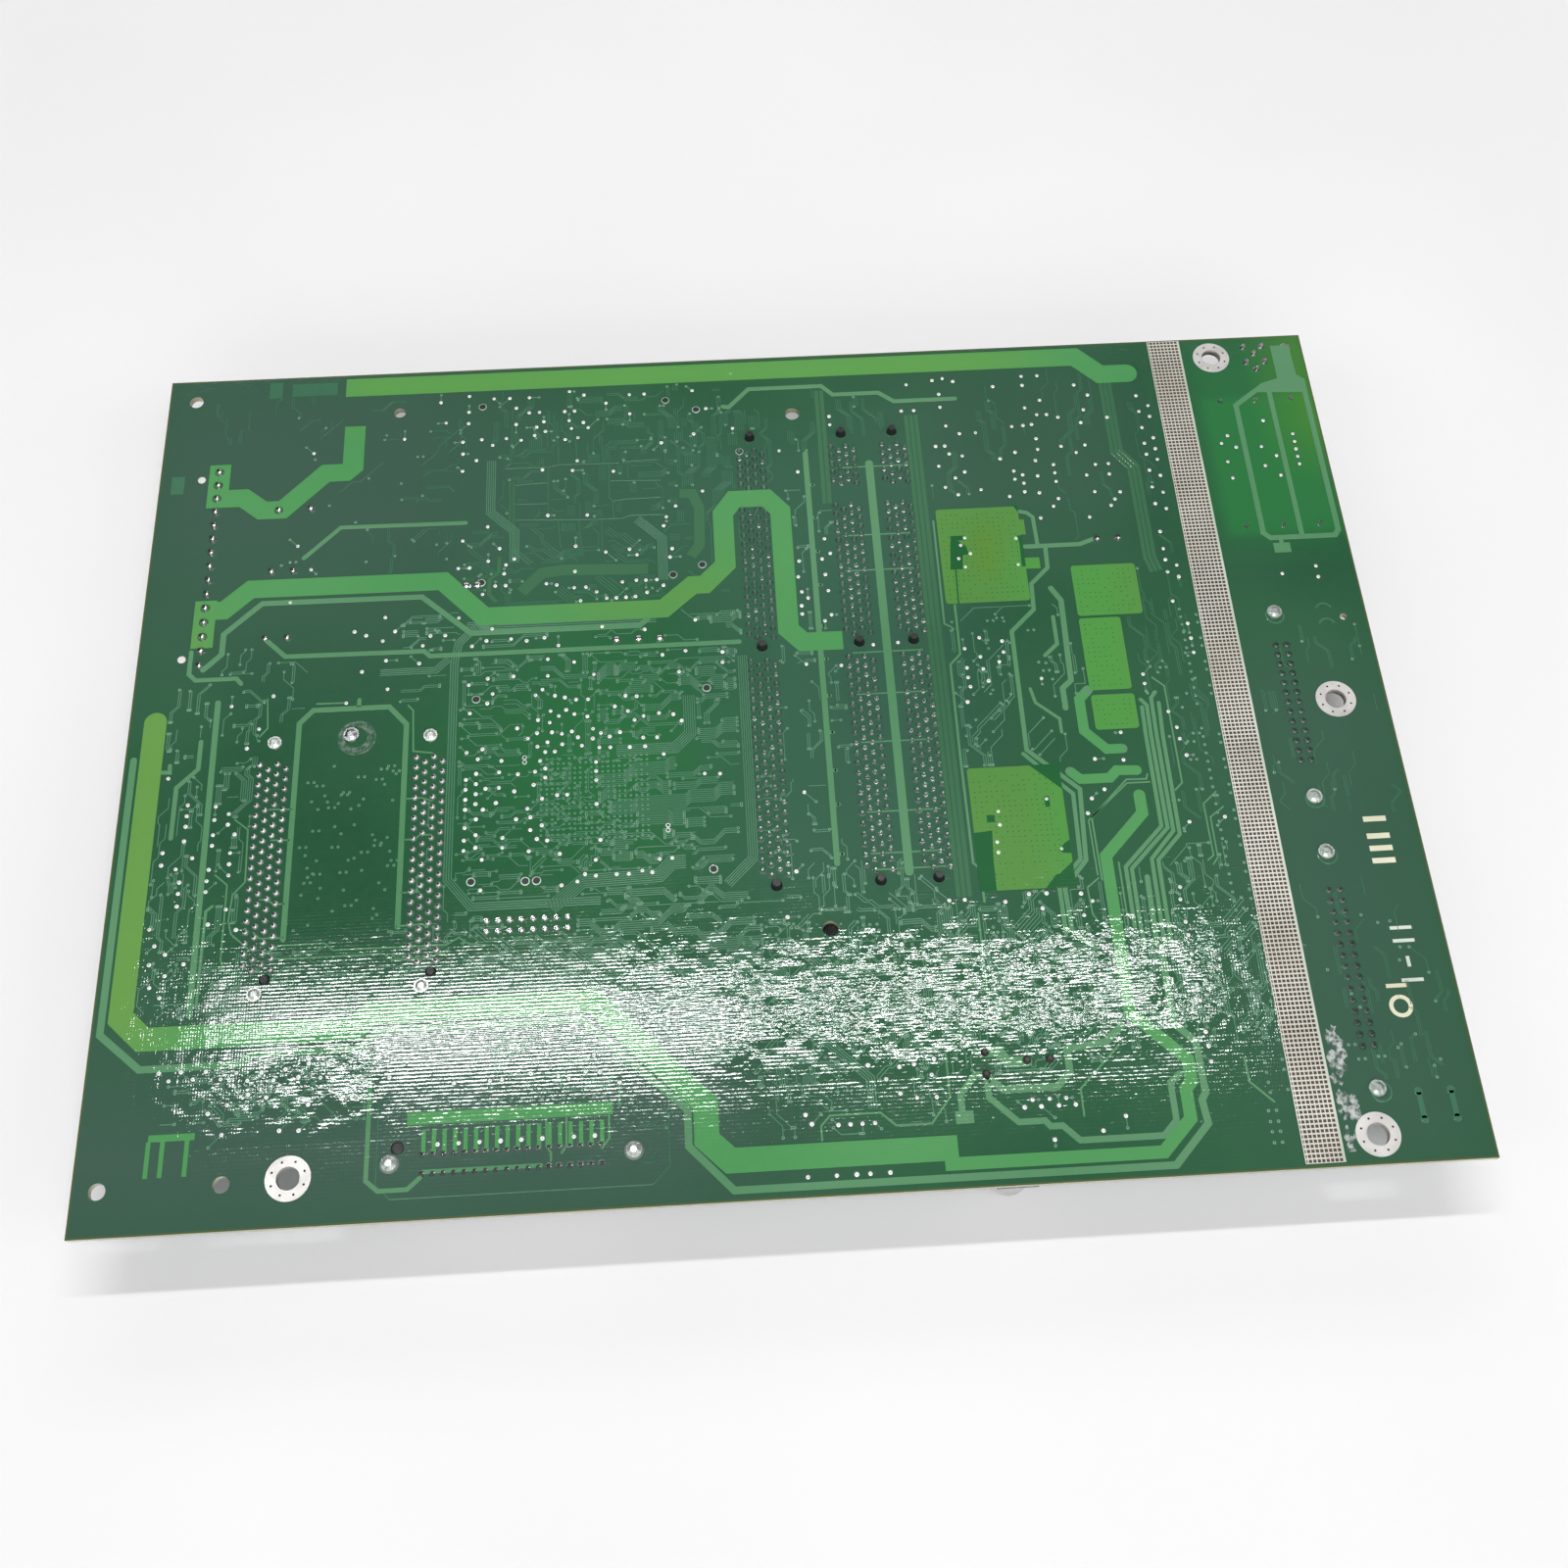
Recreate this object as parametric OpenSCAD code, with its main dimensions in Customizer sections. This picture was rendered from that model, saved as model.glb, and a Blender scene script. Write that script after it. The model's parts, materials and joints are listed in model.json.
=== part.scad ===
// Printer formatter board, lying on its component side with the solder side up.
// Places are in millimetres from the front left corner of the board. A negative
// place is counted from the back edge or from the right-hand edge instead, and
// mid() counts from the middle of the board's width, to the right.

/* [Board] */
// Width of the board
board_w = 292.1; // [290:0.1:320]
// Depth of the board
board_d = 215.9; // [214:0.1:240]
// Thickness of the laminate
board_t = 1.6; // [1:0.1:3.2]
// Height of the tallest parts, on which the board lies
rest_h = 20; // [19.5:0.5:26]
// Height of a raised conductor above the laminate
copper_t = 0.12; // [0.05:0.01:0.3]

/* [Mounting holes] */
// Diameter of the four plated mounting holes
mount_hole_d = 4.9; // [3:0.1:5.5]
// Outer diameter of the bare ring round each
mount_ring_d = 9.4; // [7:0.1:11]
// Diameter of the two guide holes beside the memory sockets
guide_hole_d = 3.6; // [2:0.1:5]
// Distance between the two guide holes
guide_hole_gap = 139.7; // [130:0.1:142]
// Diameter of the two jack screw holes of the bare nine-way footprint
jack_hole_d = 3.5; // [2.5:0.1:4.5]

/* [Contact strip] */
// Width of the bare strip that meets the metal wall
strip_w = 8.4; // [5:0.1:10]
// Number of squares across the strip
strip_cells = 7; // [4:1:9]

/* [Memory sockets] */
// Distance between neighbouring contacts on one side of the card
memory_pitch = 1.27; // [1.2:0.01:1.3]
// Extra distance at each of the two keys
memory_key_gap = 5.08; // [4.5:0.01:5.2]
// Width of the housing
memory_w = 8.4; // [8.2:0.1:9.5]
// Height of the housing between its towers
memory_h = 9; // [8.5:0.1:11]
// Thickness of the card that goes in
card_t = 1.27; // [1:0.01:1.4]
// Length of the card that goes in
card_len = 133.35; // [133:0.05:135]
// Length of a tower, along the socket
tower_len = 9; // [8.6:0.1:10]

/* [Expansion sockets] */
// Number of contacts in a row
expansion_count = 40; // [20:2:40]
// Distance between neighbouring contacts
expansion_pitch = 1.27; // [1.2:0.01:1.3]
// Height of the socket
expansion_h = 13; // [9:0.5:18]
// Width of the socket
expansion_w = 9.2; // [8.8:0.1:11]

/* [Ribbon connector] */
// Number of contacts on one side of the tongue
ribbon_count = 18; // [10:1:18]
// Distance between neighbouring contacts
ribbon_pitch = 2.16; // [2:0.01:2.2]
// Height of the metal shell above the component face
ribbon_h = 12.5; // [10:0.1:13.5]
// Distance between the two soldered board locks
ribbon_lock_gap = 50.1; // [49:0.1:52]

/* [Headers] */
// Number of pins of the power header
power_count = 15; // [8:1:15]
// Distance between two of its pins
power_pitch = 3.96; // [3.8:0.01:4]
// Distance between pins of the finer headers
header_pitch = 2.54; // [2.4:0.01:2.6]
// Pins in a row of the small header
small_count = 8; // [4:1:8]
// Rows of the upper cable socket
upper_rows = 13; // [8:1:13]
// Rows of the lower cable socket
lower_rows = 15; // [8:1:15]

/* [Capacitors and chips] */
// Diameter of the large radial capacitor
bulk_can_d = 16; // [12.5:0.5:18]
// Diameter of the smaller radial capacitors
small_can_d = 12.5; // [8:0.5:14]
// Diameter of the capacitor by the front edge
edge_can_d = 10; // [8:0.1:10]
// Height of the capacitor by the front edge
edge_can_h = 10.2; // [7:0.1:14]
// Side of the processor package
processor_side = 35; // [27:0.5:36]
// Side of the controller package
controller_side = 28; // [20:0.5:28]

/* [Hidden] */
$fn = 32;
eps = 0.01;

// Heights: the board lies on the plane z = 0, on its tallest parts
z_under = rest_h;
z_top = z_under + board_t;

// Places from the front left corner, or from the far edges where negative
function bx(x) = x < 0 ? board_w / 2 + x : x - board_w / 2;
function by(y) = y < 0 ? board_d / 2 + y : y - board_d / 2;
function at(p) = [bx(p[0]), by(p[1])];
function mid(x) = board_w / 2 + x;
function middle(path) = [for (p = path) [mid(p[0]), p[1]]];
function at_all(path) = [for (p = path) at(p)];

// Stands its children on the solder face, or hangs them from the component face.
// A hung part is built upwards from z = 0, away from the board.
module stand(p, lift = 0) translate([bx(p[0]), by(p[1]), z_top + lift]) children();
module hang(p) translate([bx(p[0]), by(p[1]), z_under]) rotate([180, 0, 0]) children();

// Box centred on x and y that stands on z = 0
module block(w, d, h) translate([-w / 2, -d / 2, 0]) cube([w, d, h]);

// Box centred on x and y with rounded upright edges
module pill(w, d, h, r) {
    block(w - 2 * r, d, h);
    block(w, d - 2 * r, h);
    for (sx = [-1, 1], sy = [-1, 1])
        translate([sx * (w / 2 - r), sy * (d / 2 - r), 0]) cylinder(r = r, h = h);
}

// Outline of a conductor of one width along a path, with mitred corners
function seg_normal(a, b) = let(d = b - a, n = norm(d)) [-d[1] / n, d[0] / n];
function mitre(p, i) =
    let(last = len(p) - 1,
        a = seg_normal(p[max(i - 1, 0)], p[max(i, 1)]),
        b = seg_normal(p[min(i, last - 1)], p[min(i + 1, last)]))
    (a + b) / (1 + a * b);
function beside(p, off) = [for (i = [0:len(p) - 1]) p[i] + off * mitre(p, i)];
function turned(p) = [for (i = [len(p) - 1:-1:0]) p[i]];
module track(path, w) {
    p = at_all(path);
    translate([0, 0, z_top])
        linear_extrude(copper_t) polygon(concat(beside(p, w / 2), turned(beside(p, -w / 2))));
}
module dot(p, d) translate([bx(p[0]), by(p[1]), z_top]) cylinder(d = d, h = copper_t);
mask_gap = 0.15;
module mask_opening(p, d) translate([bx(p[0]), by(p[1]), z_top - 1]) cylinder(d = d + 2 * mask_gap, h = 2);

// A soldered joint: a fillet that narrows to the tip of the lead
joint_h = 0.9;
joint_tip = 0.5;
module joint(d, h = joint_h) cylinder(d1 = d, d2 = d * joint_tip, h = h);

// ---- Holes through the board ----
mount_holes = [[-24.2, -6.3], [-12.1, 108.1], [-24, 6.2], [43.8, 9.9]];
guide_x = mid(12.1);
guide_front = 57.8;
guide_holes = [[guide_x, guide_front], [guide_x, guide_front + guide_hole_gap]];
jack_holes = [[5.3, 9.4], [30.3, 9.4]];
tooling_holes = [[6.8, -6.6, 3.4], [58.6, -12.7, 2.9], [-4.3, -4, 3], [-5.7, 130.2, 1.8]];

// ---- Memory sockets ----
memory_x = [mid(0.9), mid(24), mid(36.9)];
memory_mid = 129.6;
memory_groups = [10, 30, 44];
memory_contacts_total = 84;
key_1 = memory_groups[0];
key_2 = memory_groups[0] + memory_groups[1];
memory_span = (memory_contacts_total - 1) * memory_pitch + 2 * memory_key_gap;
// the contact field sits a little towards the front, as the keys are uneven
memory_first = memory_mid + memory_span / 2 - 0.8;
function contact_y(i) = memory_first - i * memory_pitch
    - (i >= key_1 ? memory_key_gap : 0) - (i >= key_2 ? memory_key_gap : 0);
pin_inner = 0.95;
pin_outer = 2.85;
memory_floor = 1.2;
slot_floor = 3;
lip_h = 1.4;
card_gap = 0.2;
slot_w = card_t + 2 * card_gap;
cavity_w = 4.8;
peg_d = 2.4;
peg_gap = 0.1;
peg_rise = 1.7;
peg_off = 61.05;
memory_pegs = [-peg_off, 0, peg_off];
tower_in = card_len / 2 - 2.7;
tower_out = tower_in + tower_len;
groove_end = card_len / 2 + 0.3;
clevis_w = 4.2;
clevis_floor = 1;
pocket_in = 61.3;
pocket_w = 2.8;
pivot_r = 1.2;
pivot_gap = 0.06;
pivot_h = 4.2;
pivot_y = groove_end + 3.1;

// peg that goes through the board and stands out of the solder face
module peg(d, rise) {
    translate([0, 0, -board_t]) cylinder(d = d, h = board_t + eps);
    translate([0, 0, -board_t - rise]) cylinder(d1 = d * 0.7, d2 = d, h = rise);
}

// end tower: two cheeks round the latch, a groove for the card and a pocket for the foot
module tower_cut(s) {
    // groove for the edge of the card
    translate([-slot_w / 2, s > 0 ? pocket_in : -groove_end, slot_floor])
        cube([slot_w, groove_end - pocket_in, rest_h]);
    // space between the cheeks
    translate([-clevis_w / 2, s > 0 ? groove_end : -tower_out - 1, clevis_floor])
        cube([clevis_w, tower_out + 1 - groove_end, rest_h]);
    // pocket for the foot that lifts the card
    translate([-pocket_w / 2, s > 0 ? pocket_in : -groove_end - eps, clevis_floor])
        cube([pocket_w, groove_end + eps - pocket_in, memory_h]);
    // pivot holes in both cheeks
    translate([-memory_w / 2 - 1, s * pivot_y, pivot_h]) rotate([0, 90, 0])
        cylinder(r = pivot_r + pivot_gap, h = memory_w + 2);
}

module memory_socket(x) {
    color("#1f2021") hang([x, memory_mid]) {
        difference() {
            union() {
                block(memory_w, 2 * tower_in + 1, memory_h);
                for (s = [-1, 1])
                    translate([0, s * (tower_in + tower_out) / 2, 0])
                        block(memory_w, tower_len, rest_h);
            }
            // card slot through the lips
            translate([-slot_w / 2, -pocket_in - eps, memory_h - lip_h - eps])
                cube([slot_w, 2 * (pocket_in + eps), lip_h + 1]);
            // one cavity for each group of contacts; the walls left between them are the keys
            for (g = [[0, key_1 - 1], [key_1, key_2 - 1], [key_2, memory_contacts_total - 1]]) {
                y0 = memory_mid - contact_y(g[0]) - memory_pitch;
                y1 = memory_mid - contact_y(g[1]) + memory_pitch;
                translate([-cavity_w / 2, y0, memory_floor])
                    cube([cavity_w, y1 - y0, memory_h - lip_h - memory_floor]);
            }
            for (s = [-1, 1]) tower_cut(s);
        }
        // two walls across the slot key the card
        for (k = [key_1, key_2])
            translate([0, memory_mid - (contact_y(k - 1) + contact_y(k)) / 2, memory_h - lip_h - 2 * eps])
                block(slot_w + 0.4, 1.8, lip_h);
        for (y = memory_pegs) translate([0, y, 0]) peg(peg_d, peg_rise);
    }
}

// spring contact: foot on the floor of the cavity, stem that leans towards the card
contact_w = 0.6;
contact_t = 0.35;
contact_top = 7.2;
module spring(s, run, top, near) {
    foot = s * run;
    lean = s * near;
    translate([0, contact_w / 2, 0]) rotate([90, 0, 0]) linear_extrude(contact_w)
        polygon([[foot, 0], [foot, contact_t], [lean + s * 1.1, contact_t], [lean + s * contact_t, top],
            [lean, top], [lean + s * 0.7, 0]]);
}

module memory_contacts(x) {
    color("#d8b45c") hang([x, memory_mid])
        for (i = [0:memory_contacts_total - 1], s = [-1, 1])
            translate([0, memory_mid - contact_y(i), memory_floor])
                spring(s, cavity_w / 2 - 0.2, contact_top - memory_floor - 0.2, slot_w / 2);
}

// solder joints: the contacts' tails leave in four staggered columns
memory_joint_d = 1.15;
module memory_solder(x) {
    color("#c9ccc9")
        for (i = [0:memory_contacts_total - 1], s = [-1, 1]) {
            inner = (i % 2 == 0) == (s > 0);
            stand([x + s * (inner ? pin_inner : pin_outer), contact_y(i)]) joint(memory_joint_d);
        }
}

// ejector latch: hook over the card's notch, foot under its edge, thumb pad at the end
latch_w = clevis_w - 0.4;
latch_stem = 3;
latch_top = rest_h - 0.8;
latch_hub_r = 2.3;
hook_w = slot_w - 0.3;
hook_reach = 2.2;
hook_h = 12.6;
foot_w = pocket_w - 0.4;
foot_in = 62.3;
foot_h = 1.4;
pad_reach = 4.2;
pad_t = 2.4;
boss_end = memory_w / 2 - 0.3;
module latch(x, s) {
    color("#2b2b2a") hang([x, memory_mid]) rotate([0, 0, s > 0 ? 180 : 0]) {
        stem_in = pivot_y - latch_stem / 2;
        difference() {
            union() {
                translate([-latch_w / 2, stem_in, pivot_h]) cube([latch_w, latch_stem, latch_top - pivot_h]);
                translate([-latch_w / 2, pivot_y, pivot_h]) rotate([0, 90, 0])
                    cylinder(r = latch_hub_r, h = latch_w);
                // thumb pad
                translate([-latch_w / 2, stem_in, latch_top - pad_t])
                    cube([latch_w, latch_stem + pad_reach, pad_t]);
                translate([-foot_w / 2, foot_in, foot_h]) cube([foot_w, pivot_y - foot_in, 1.5]);
                translate([-boss_end, pivot_y, pivot_h]) rotate([0, 90, 0])
                    cylinder(r = pivot_r, h = 2 * boss_end);
                // hook
                translate([-hook_w / 2, stem_in - hook_reach, hook_h]) cube([hook_w, hook_reach + 1, 2.4]);
            }
            // grip grooves across the thumb pad
            for (k = [0:3])
                translate([-latch_w, stem_in + 1.6 + k * 1.4, latch_top - 0.4]) cube([2 * latch_w, 0.6, 1]);
        }
    }
}

// ---- Expansion sockets ----
expansion_x = [mid(-112.2), mid(-76.6)];
expansion_first = 104.7;
expansion_span = (expansion_count - 1) * expansion_pitch;
expansion_mid = expansion_first - expansion_span / 2;
expansion_wall = 5.6;
expansion_len = expansion_span + 2 * expansion_wall + 4;
expansion_slot_w = 3.4;
expansion_floor = 3.5;
expansion_lead_in = 0.8;
expansion_key = [1.6, 3];
expansion_foot = [1.2, 3, 3];
expansion_peg_d = 2.3;
expansion_peg = [1.9, 52.9];
lock_d = 3.2;
expansion_lock_off = expansion_span / 2 + 5.5;
module expansion_socket(x) {
    color("#26282b") hang([x, expansion_mid]) {
        difference() {
            union() {
                pill(expansion_w, expansion_len, expansion_h, 1);
                block(expansion_w + expansion_foot[0], expansion_len + expansion_foot[1], expansion_foot[2]);
            }
            translate([0, 0, expansion_floor])
                block(expansion_slot_w, expansion_span + 4, expansion_h);
            // sloped lead-in along both lips
            translate([0, expansion_span / 2 + 2, expansion_h + eps]) rotate([90, 0, 0])
                linear_extrude(expansion_span + 4)
                    polygon([[-expansion_slot_w / 2 - expansion_lead_in, 0],
                        [expansion_slot_w / 2 + expansion_lead_in, 0],
                        [expansion_slot_w / 2 - eps, -expansion_lead_in - eps],
                        [-expansion_slot_w / 2 + eps, -expansion_lead_in - eps]]);
            // notch at one end that keys the card
            translate([0, expansion_span / 2 + 2, expansion_floor + 4])
                block(expansion_key[0], expansion_key[1], expansion_h);
        }
        translate([expansion_peg[0], expansion_mid - expansion_peg[1], 0]) peg(expansion_peg_d, 0.4);
    }
}
module expansion_contacts(x) {
    color("#d8b45c") hang([x, expansion_mid])
        for (i = [0:expansion_count - 1], s = [-1, 1])
            translate([0, i * expansion_pitch - expansion_span / 2, expansion_floor])
                spring(s, expansion_slot_w / 2 - 0.05, expansion_h - expansion_floor - 2, 0.3);
}
expansion_joint_d = 1.2;
expansion_joint_h = 0.5;
expansion_in = 1;
expansion_out = 3;
module expansion_solder() {
    color("#c9ccc9")
        for (x = expansion_x, i = [0:expansion_count - 1], s = [-1, 1]) {
            inner = (i % 2 == 0) == (s > 0);
            stand([x + s * (inner ? expansion_in : expansion_out), expansion_first - i * expansion_pitch])
                joint(expansion_joint_d, expansion_joint_h);
        }
}
// head of a soldered board lock: a collar and the rounded end of the post
lock_step = 0.35;
module lock_head(d) {
    cylinder(d = d, h = lock_step);
    translate([0, 0, lock_step - eps]) cylinder(d1 = d * 0.8, d2 = d * 0.4, h = lock_step);
}
module expansion_locks() {
    color("#c2c6c6")
        for (x = expansion_x, s = [-1, 1]) stand([x, expansion_mid + s * expansion_lock_off]) lock_head(lock_d);
}

// ---- Ribbon connector with a metal shell ----
ribbon_mid = [89.3, 11.4];
ribbon_span = (ribbon_count - 1) * ribbon_pitch;
ribbon_row = 2;
ribbon_seat = 4.5;
ribbon_flange_w = 11.6;
ribbon_flange_t = 1;
ribbon_shell_w = 9.2;
ribbon_shell_len = ribbon_span + 7;
ribbon_wall = 0.6;
ribbon_slope = 2.4;
ribbon_tongue_w = 2.6;
ribbon_tongue_dip = 1.5;
ribbon_leg = [3, 4];
ribbon_peg_d = 2.6;
ribbon_peg = [1.5, 3.5];
ribbon_joint = [1.1, 0.35];
ribbon_lock = [4, 3.2, 1.4];
ribbon_lock_h = [0.6, 0.5];
ribbon_lock_y = 0.3;
// outline of the shell: one long side is shorter, so the plug goes in one way only
module shell_outline(w, len, slope) polygon([[-len / 2, -w / 2 + slope], [-len / 2 + slope, -w / 2],
    [len / 2 - slope, -w / 2], [len / 2, -w / 2 + slope], [len / 2 - 0.8, w / 2 - 0.8],
    [len / 2 - 1.6, w / 2], [-len / 2 + 1.6, w / 2], [-len / 2 + 0.8, w / 2 - 0.8]]);
module ribbon_shell() {
    color("#b8bcbe") hang(ribbon_mid) difference() {
        union() {
            translate([0, 0, ribbon_seat])
                pill(ribbon_lock_gap + 5.6, ribbon_flange_w, ribbon_flange_t, 2);
            translate([0, 0, ribbon_seat]) linear_extrude(ribbon_h - ribbon_seat)
                shell_outline(ribbon_shell_w, ribbon_shell_len, ribbon_slope);
            // legs down to the board at each lock
            for (s = [-1, 1]) translate([s * ribbon_lock_gap / 2, 0, 0])
                block(ribbon_leg[0], ribbon_leg[1], ribbon_seat + eps);
        }
        translate([0, 0, ribbon_seat - 1]) linear_extrude(ribbon_h)
            shell_outline(ribbon_shell_w - 2 * ribbon_wall, ribbon_shell_len - 2 * ribbon_wall,
                ribbon_slope - 0.2);
    }
}
module ribbon_body() {
    color("#26282b") hang(ribbon_mid) {
        block(ribbon_shell_len + 0.4, ribbon_shell_w, ribbon_seat);
        translate([0, 0, ribbon_seat - eps])
            block(ribbon_span + 3.4, ribbon_tongue_w, ribbon_h - ribbon_seat - ribbon_tongue_dip);
        translate([-ribbon_lock_gap / 2 + ribbon_peg[0], -ribbon_peg[1], 0]) {
            peg(ribbon_peg_d, 0.1);
            block(ribbon_leg[0], ribbon_leg[0], ribbon_seat);
        }
    }
}
ribbon_contact = [1.1, 0.25];
module ribbon_contacts() {
    color("#d8b45c") hang(ribbon_mid)
        for (i = [0:ribbon_count - 1], s = [-1, 1])
            translate([i * ribbon_pitch - ribbon_span / 2,
                s * (ribbon_tongue_w + ribbon_contact[1]) / 2, ribbon_seat])
                block(ribbon_contact[0], ribbon_contact[1], ribbon_h - ribbon_seat - ribbon_tongue_dip - 1);
}
module ribbon_solder() {
    color("#c9ccc9")
        for (i = [0:ribbon_count - 1], s = [-1, 1])
            stand([ribbon_mid[0] + i * ribbon_pitch - ribbon_span / 2, ribbon_mid[1] + s * ribbon_row])
                joint(ribbon_joint[0], ribbon_joint[1]);
}
module ribbon_locks() {
    color("#c2c6c6")
        for (s = [-1, 1]) stand([ribbon_mid[0] + s * ribbon_lock_gap / 2, ribbon_mid[1] + ribbon_lock_y]) {
            cylinder(d1 = ribbon_lock[0], d2 = ribbon_lock[1], h = ribbon_lock_h[0]);
            translate([0, 0, ribbon_lock_h[0] - eps])
                cylinder(d1 = ribbon_lock[1], d2 = ribbon_lock[2], h = ribbon_lock_h[1]);
        }
}

// ---- Power header ----
power_x = 14.6;
power_span = (power_count - 1) * power_pitch;
power_mid = 159.3;
power_pin = 1.14;
power_base_w = 9.6;
power_base_h = 3.4;
power_lock_h = 11;
power_pin_up = 1;
power_wall_x = 3.6;
power_wall_t = 1.4;
power_slit_w = 0.6;
power_base_off = -0.5;
power_peg_off = -4.3;
power_peg_in = 2;
power_peg_d = 1.9;
power_joint_d = 2;
pin_gap = 0.02;
module power_header() {
    color("#ece8dc") hang([power_x, power_mid]) {
        difference() {
            translate([power_base_off, 0, 0]) block(power_base_w, power_span + power_pitch, power_base_h);
            for (i = [0:power_count - 1])
                translate([0, i * power_pitch - power_span / 2, -1])
                    block(power_pin, power_pin, power_base_h + 2);
        }
        // friction wall behind the pins, slit between the circuits
        difference() {
            translate([power_wall_x, 0, power_base_h - eps])
                block(power_wall_t, power_span + power_pitch, power_lock_h - power_base_h);
            for (i = [1:power_count - 1])
                translate([power_wall_x, (i - 0.5) * power_pitch - power_span / 2, power_base_h + 2])
                    block(power_wall_t + 1, power_slit_w, power_lock_h);
        }
        for (s = [-1, 1])
            translate([power_peg_off, s * (power_span / 2 - power_peg_in), 0]) peg(power_peg_d, 0.1);
    }
}
module power_pins() {
    color("#c9ccc9") {
        hang([power_x, power_mid]) for (i = [0:power_count - 1])
            translate([0, i * power_pitch - power_span / 2, 0])
                block(power_pin - pin_gap, power_pin - pin_gap, power_lock_h + power_pin_up);
        for (i = [0:power_count - 1])
            stand([power_x, power_mid + i * power_pitch - power_span / 2]) joint(power_joint_d);
    }
}

// ---- Small two-row header ----
small_mid = [mid(-54), 62.4];
small_pin = 0.64;
small_base_h = 2.5;
small_pin_up = 6;
small_joint_d = 1.7;
module small_places() {
    for (i = [0:small_count - 1], s = [-0.5, 0.5])
        translate([(i - (small_count - 1) / 2) * header_pitch, s * header_pitch, 0]) children();
}
module small_header() {
    color("#26282b") hang(small_mid) difference() {
        block(small_count * header_pitch, 2 * header_pitch, small_base_h);
        small_places() translate([0, 0, -1]) block(small_pin, small_pin, small_base_h + 2);
    }
}
module small_pins() {
    color("#c9ccc9") {
        hang(small_mid) small_places()
            block(small_pin - pin_gap, small_pin - pin_gap, small_base_h + small_pin_up);
        stand(small_mid) small_places() joint(small_joint_d);
    }
}

// ---- Cable sockets on the right ----
cable_x = -22.1;
upper_mid = 107.9;
lower_mid = 42.8;
cable_w = 8.4;
cable_h = 11;
cable_wall = 1.2;
cable_floor = 3;
cable_end = 11;
cable_foot_h = 2;
cable_key_w = 4.5;
cable_pin_h = 6;
cable_joint = [1.2, 0.4];
cable_lock_d = 3.6;
cable_lock_off = 9.2;
function cable_len(rows) = (rows - 1) * header_pitch + 2 * cable_end;
module cable_socket(mid, rows) {
    color("#e4e0d2") hang([cable_x, mid]) difference() {
        union() {
            pill(cable_w, cable_len(rows), cable_h, 0.8);
            block(cable_w + 1, cable_len(rows) - 6, cable_foot_h);
        }
        translate([0, 0, cable_floor])
            block(cable_w - 2 * cable_wall, cable_len(rows) - 2 * cable_end + 5, cable_h);
        // opening in one long wall for the plug's key
        translate([cable_w / 2, 0, cable_floor + 2]) block(2 * cable_wall + 0.4, cable_key_w, cable_h);
    }
}
module cable_places(rows) {
    for (i = [0:rows - 1], s = [-0.5, 0.5])
        translate([s * header_pitch, (i - (rows - 1) / 2) * header_pitch, 0]) children();
}
module cable_pins() {
    color("#c9ccc9") for (g = [[upper_mid, upper_rows], [lower_mid, lower_rows]]) {
        hang([cable_x, g[0]]) cable_places(g[1])
            translate([0, 0, cable_floor]) block(small_pin, small_pin, cable_pin_h);
        stand([cable_x, g[0]]) cable_places(g[1]) joint(cable_joint[0], cable_joint[1]);
    }
}
module cable_locks() {
    color("#d4d6d4")
        for (g = [[upper_mid, upper_rows], [lower_mid, lower_rows]], s = [-1, 1])
            stand([cable_x, g[0] + s * ((g[1] - 1) * header_pitch / 2 + cable_lock_off)])
                lock_head(cable_lock_d);
}

// ---- Closed parts on the right ----
module_mid = [-15.1, -39.6];
module_size = [25, 41, 12];
module_joint = [1.3, 0.7];
module_pin_dx = 9.1;
module_pin_dy = 38.4;
module power_module() {
    color("#2a2c31") hang(module_mid) {
        pill(module_size[0], module_size[1], module_size[2], 1.5);
    }
}
module module_pins() {
    color("#c9ccc9")
        for (i = [-1, 0, 1], s = [-0.5, 0.5])
            stand([module_mid[0] + i * module_pin_dx, module_mid[1] + s * module_pin_dy])
                joint(module_joint[0], module_joint[1]);
}
relay_mid = [-12.9, -6.9];
relay_size = [10.6, 12.6, 9.5];
relay_pin_dx = 2.4;
relay_pin_dy = 2.5;
relay_joint = [1.8, 0.8];
module relay() color("#33363c") hang(relay_mid) pill(relay_size[0], relay_size[1], relay_size[2], 0.8);
module relay_pins() {
    color("#c9ccc9") {
        for (i = [-1, 1], j = [-0.5, 1.5])
            stand(relay_mid + [i * relay_pin_dx, j * relay_pin_dy]) joint(relay_joint[0], relay_joint[1]);
        for (j = [-1.4, 0.6]) stand(relay_mid + [0, j * relay_pin_dy]) joint(relay_joint[0], relay_joint[1]);
    }
}
standoff_at = [mid(-94.8), 111.4];
standoff_flats = 6.4;
standoff_short = 6;
standoff_bore = 2.6;
standoff_floor = 3;
module card_standoff() {
    color("#c2c6c6") {
        hang(standoff_at) difference() {
            cylinder(d = standoff_flats, h = rest_h - standoff_short, $fn = 6);
            translate([0, 0, standoff_floor]) cylinder(d = standoff_bore, h = rest_h);
        }
        stand(standoff_at) lock_head(cable_lock_d);
    }
}

// ---- Capacitors ----
bulk_at = [34, 174.8];
small_cans_at = [[32.2, 156.9], [32.1, 138.1], [mid(86.9), 155.5]];
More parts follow.
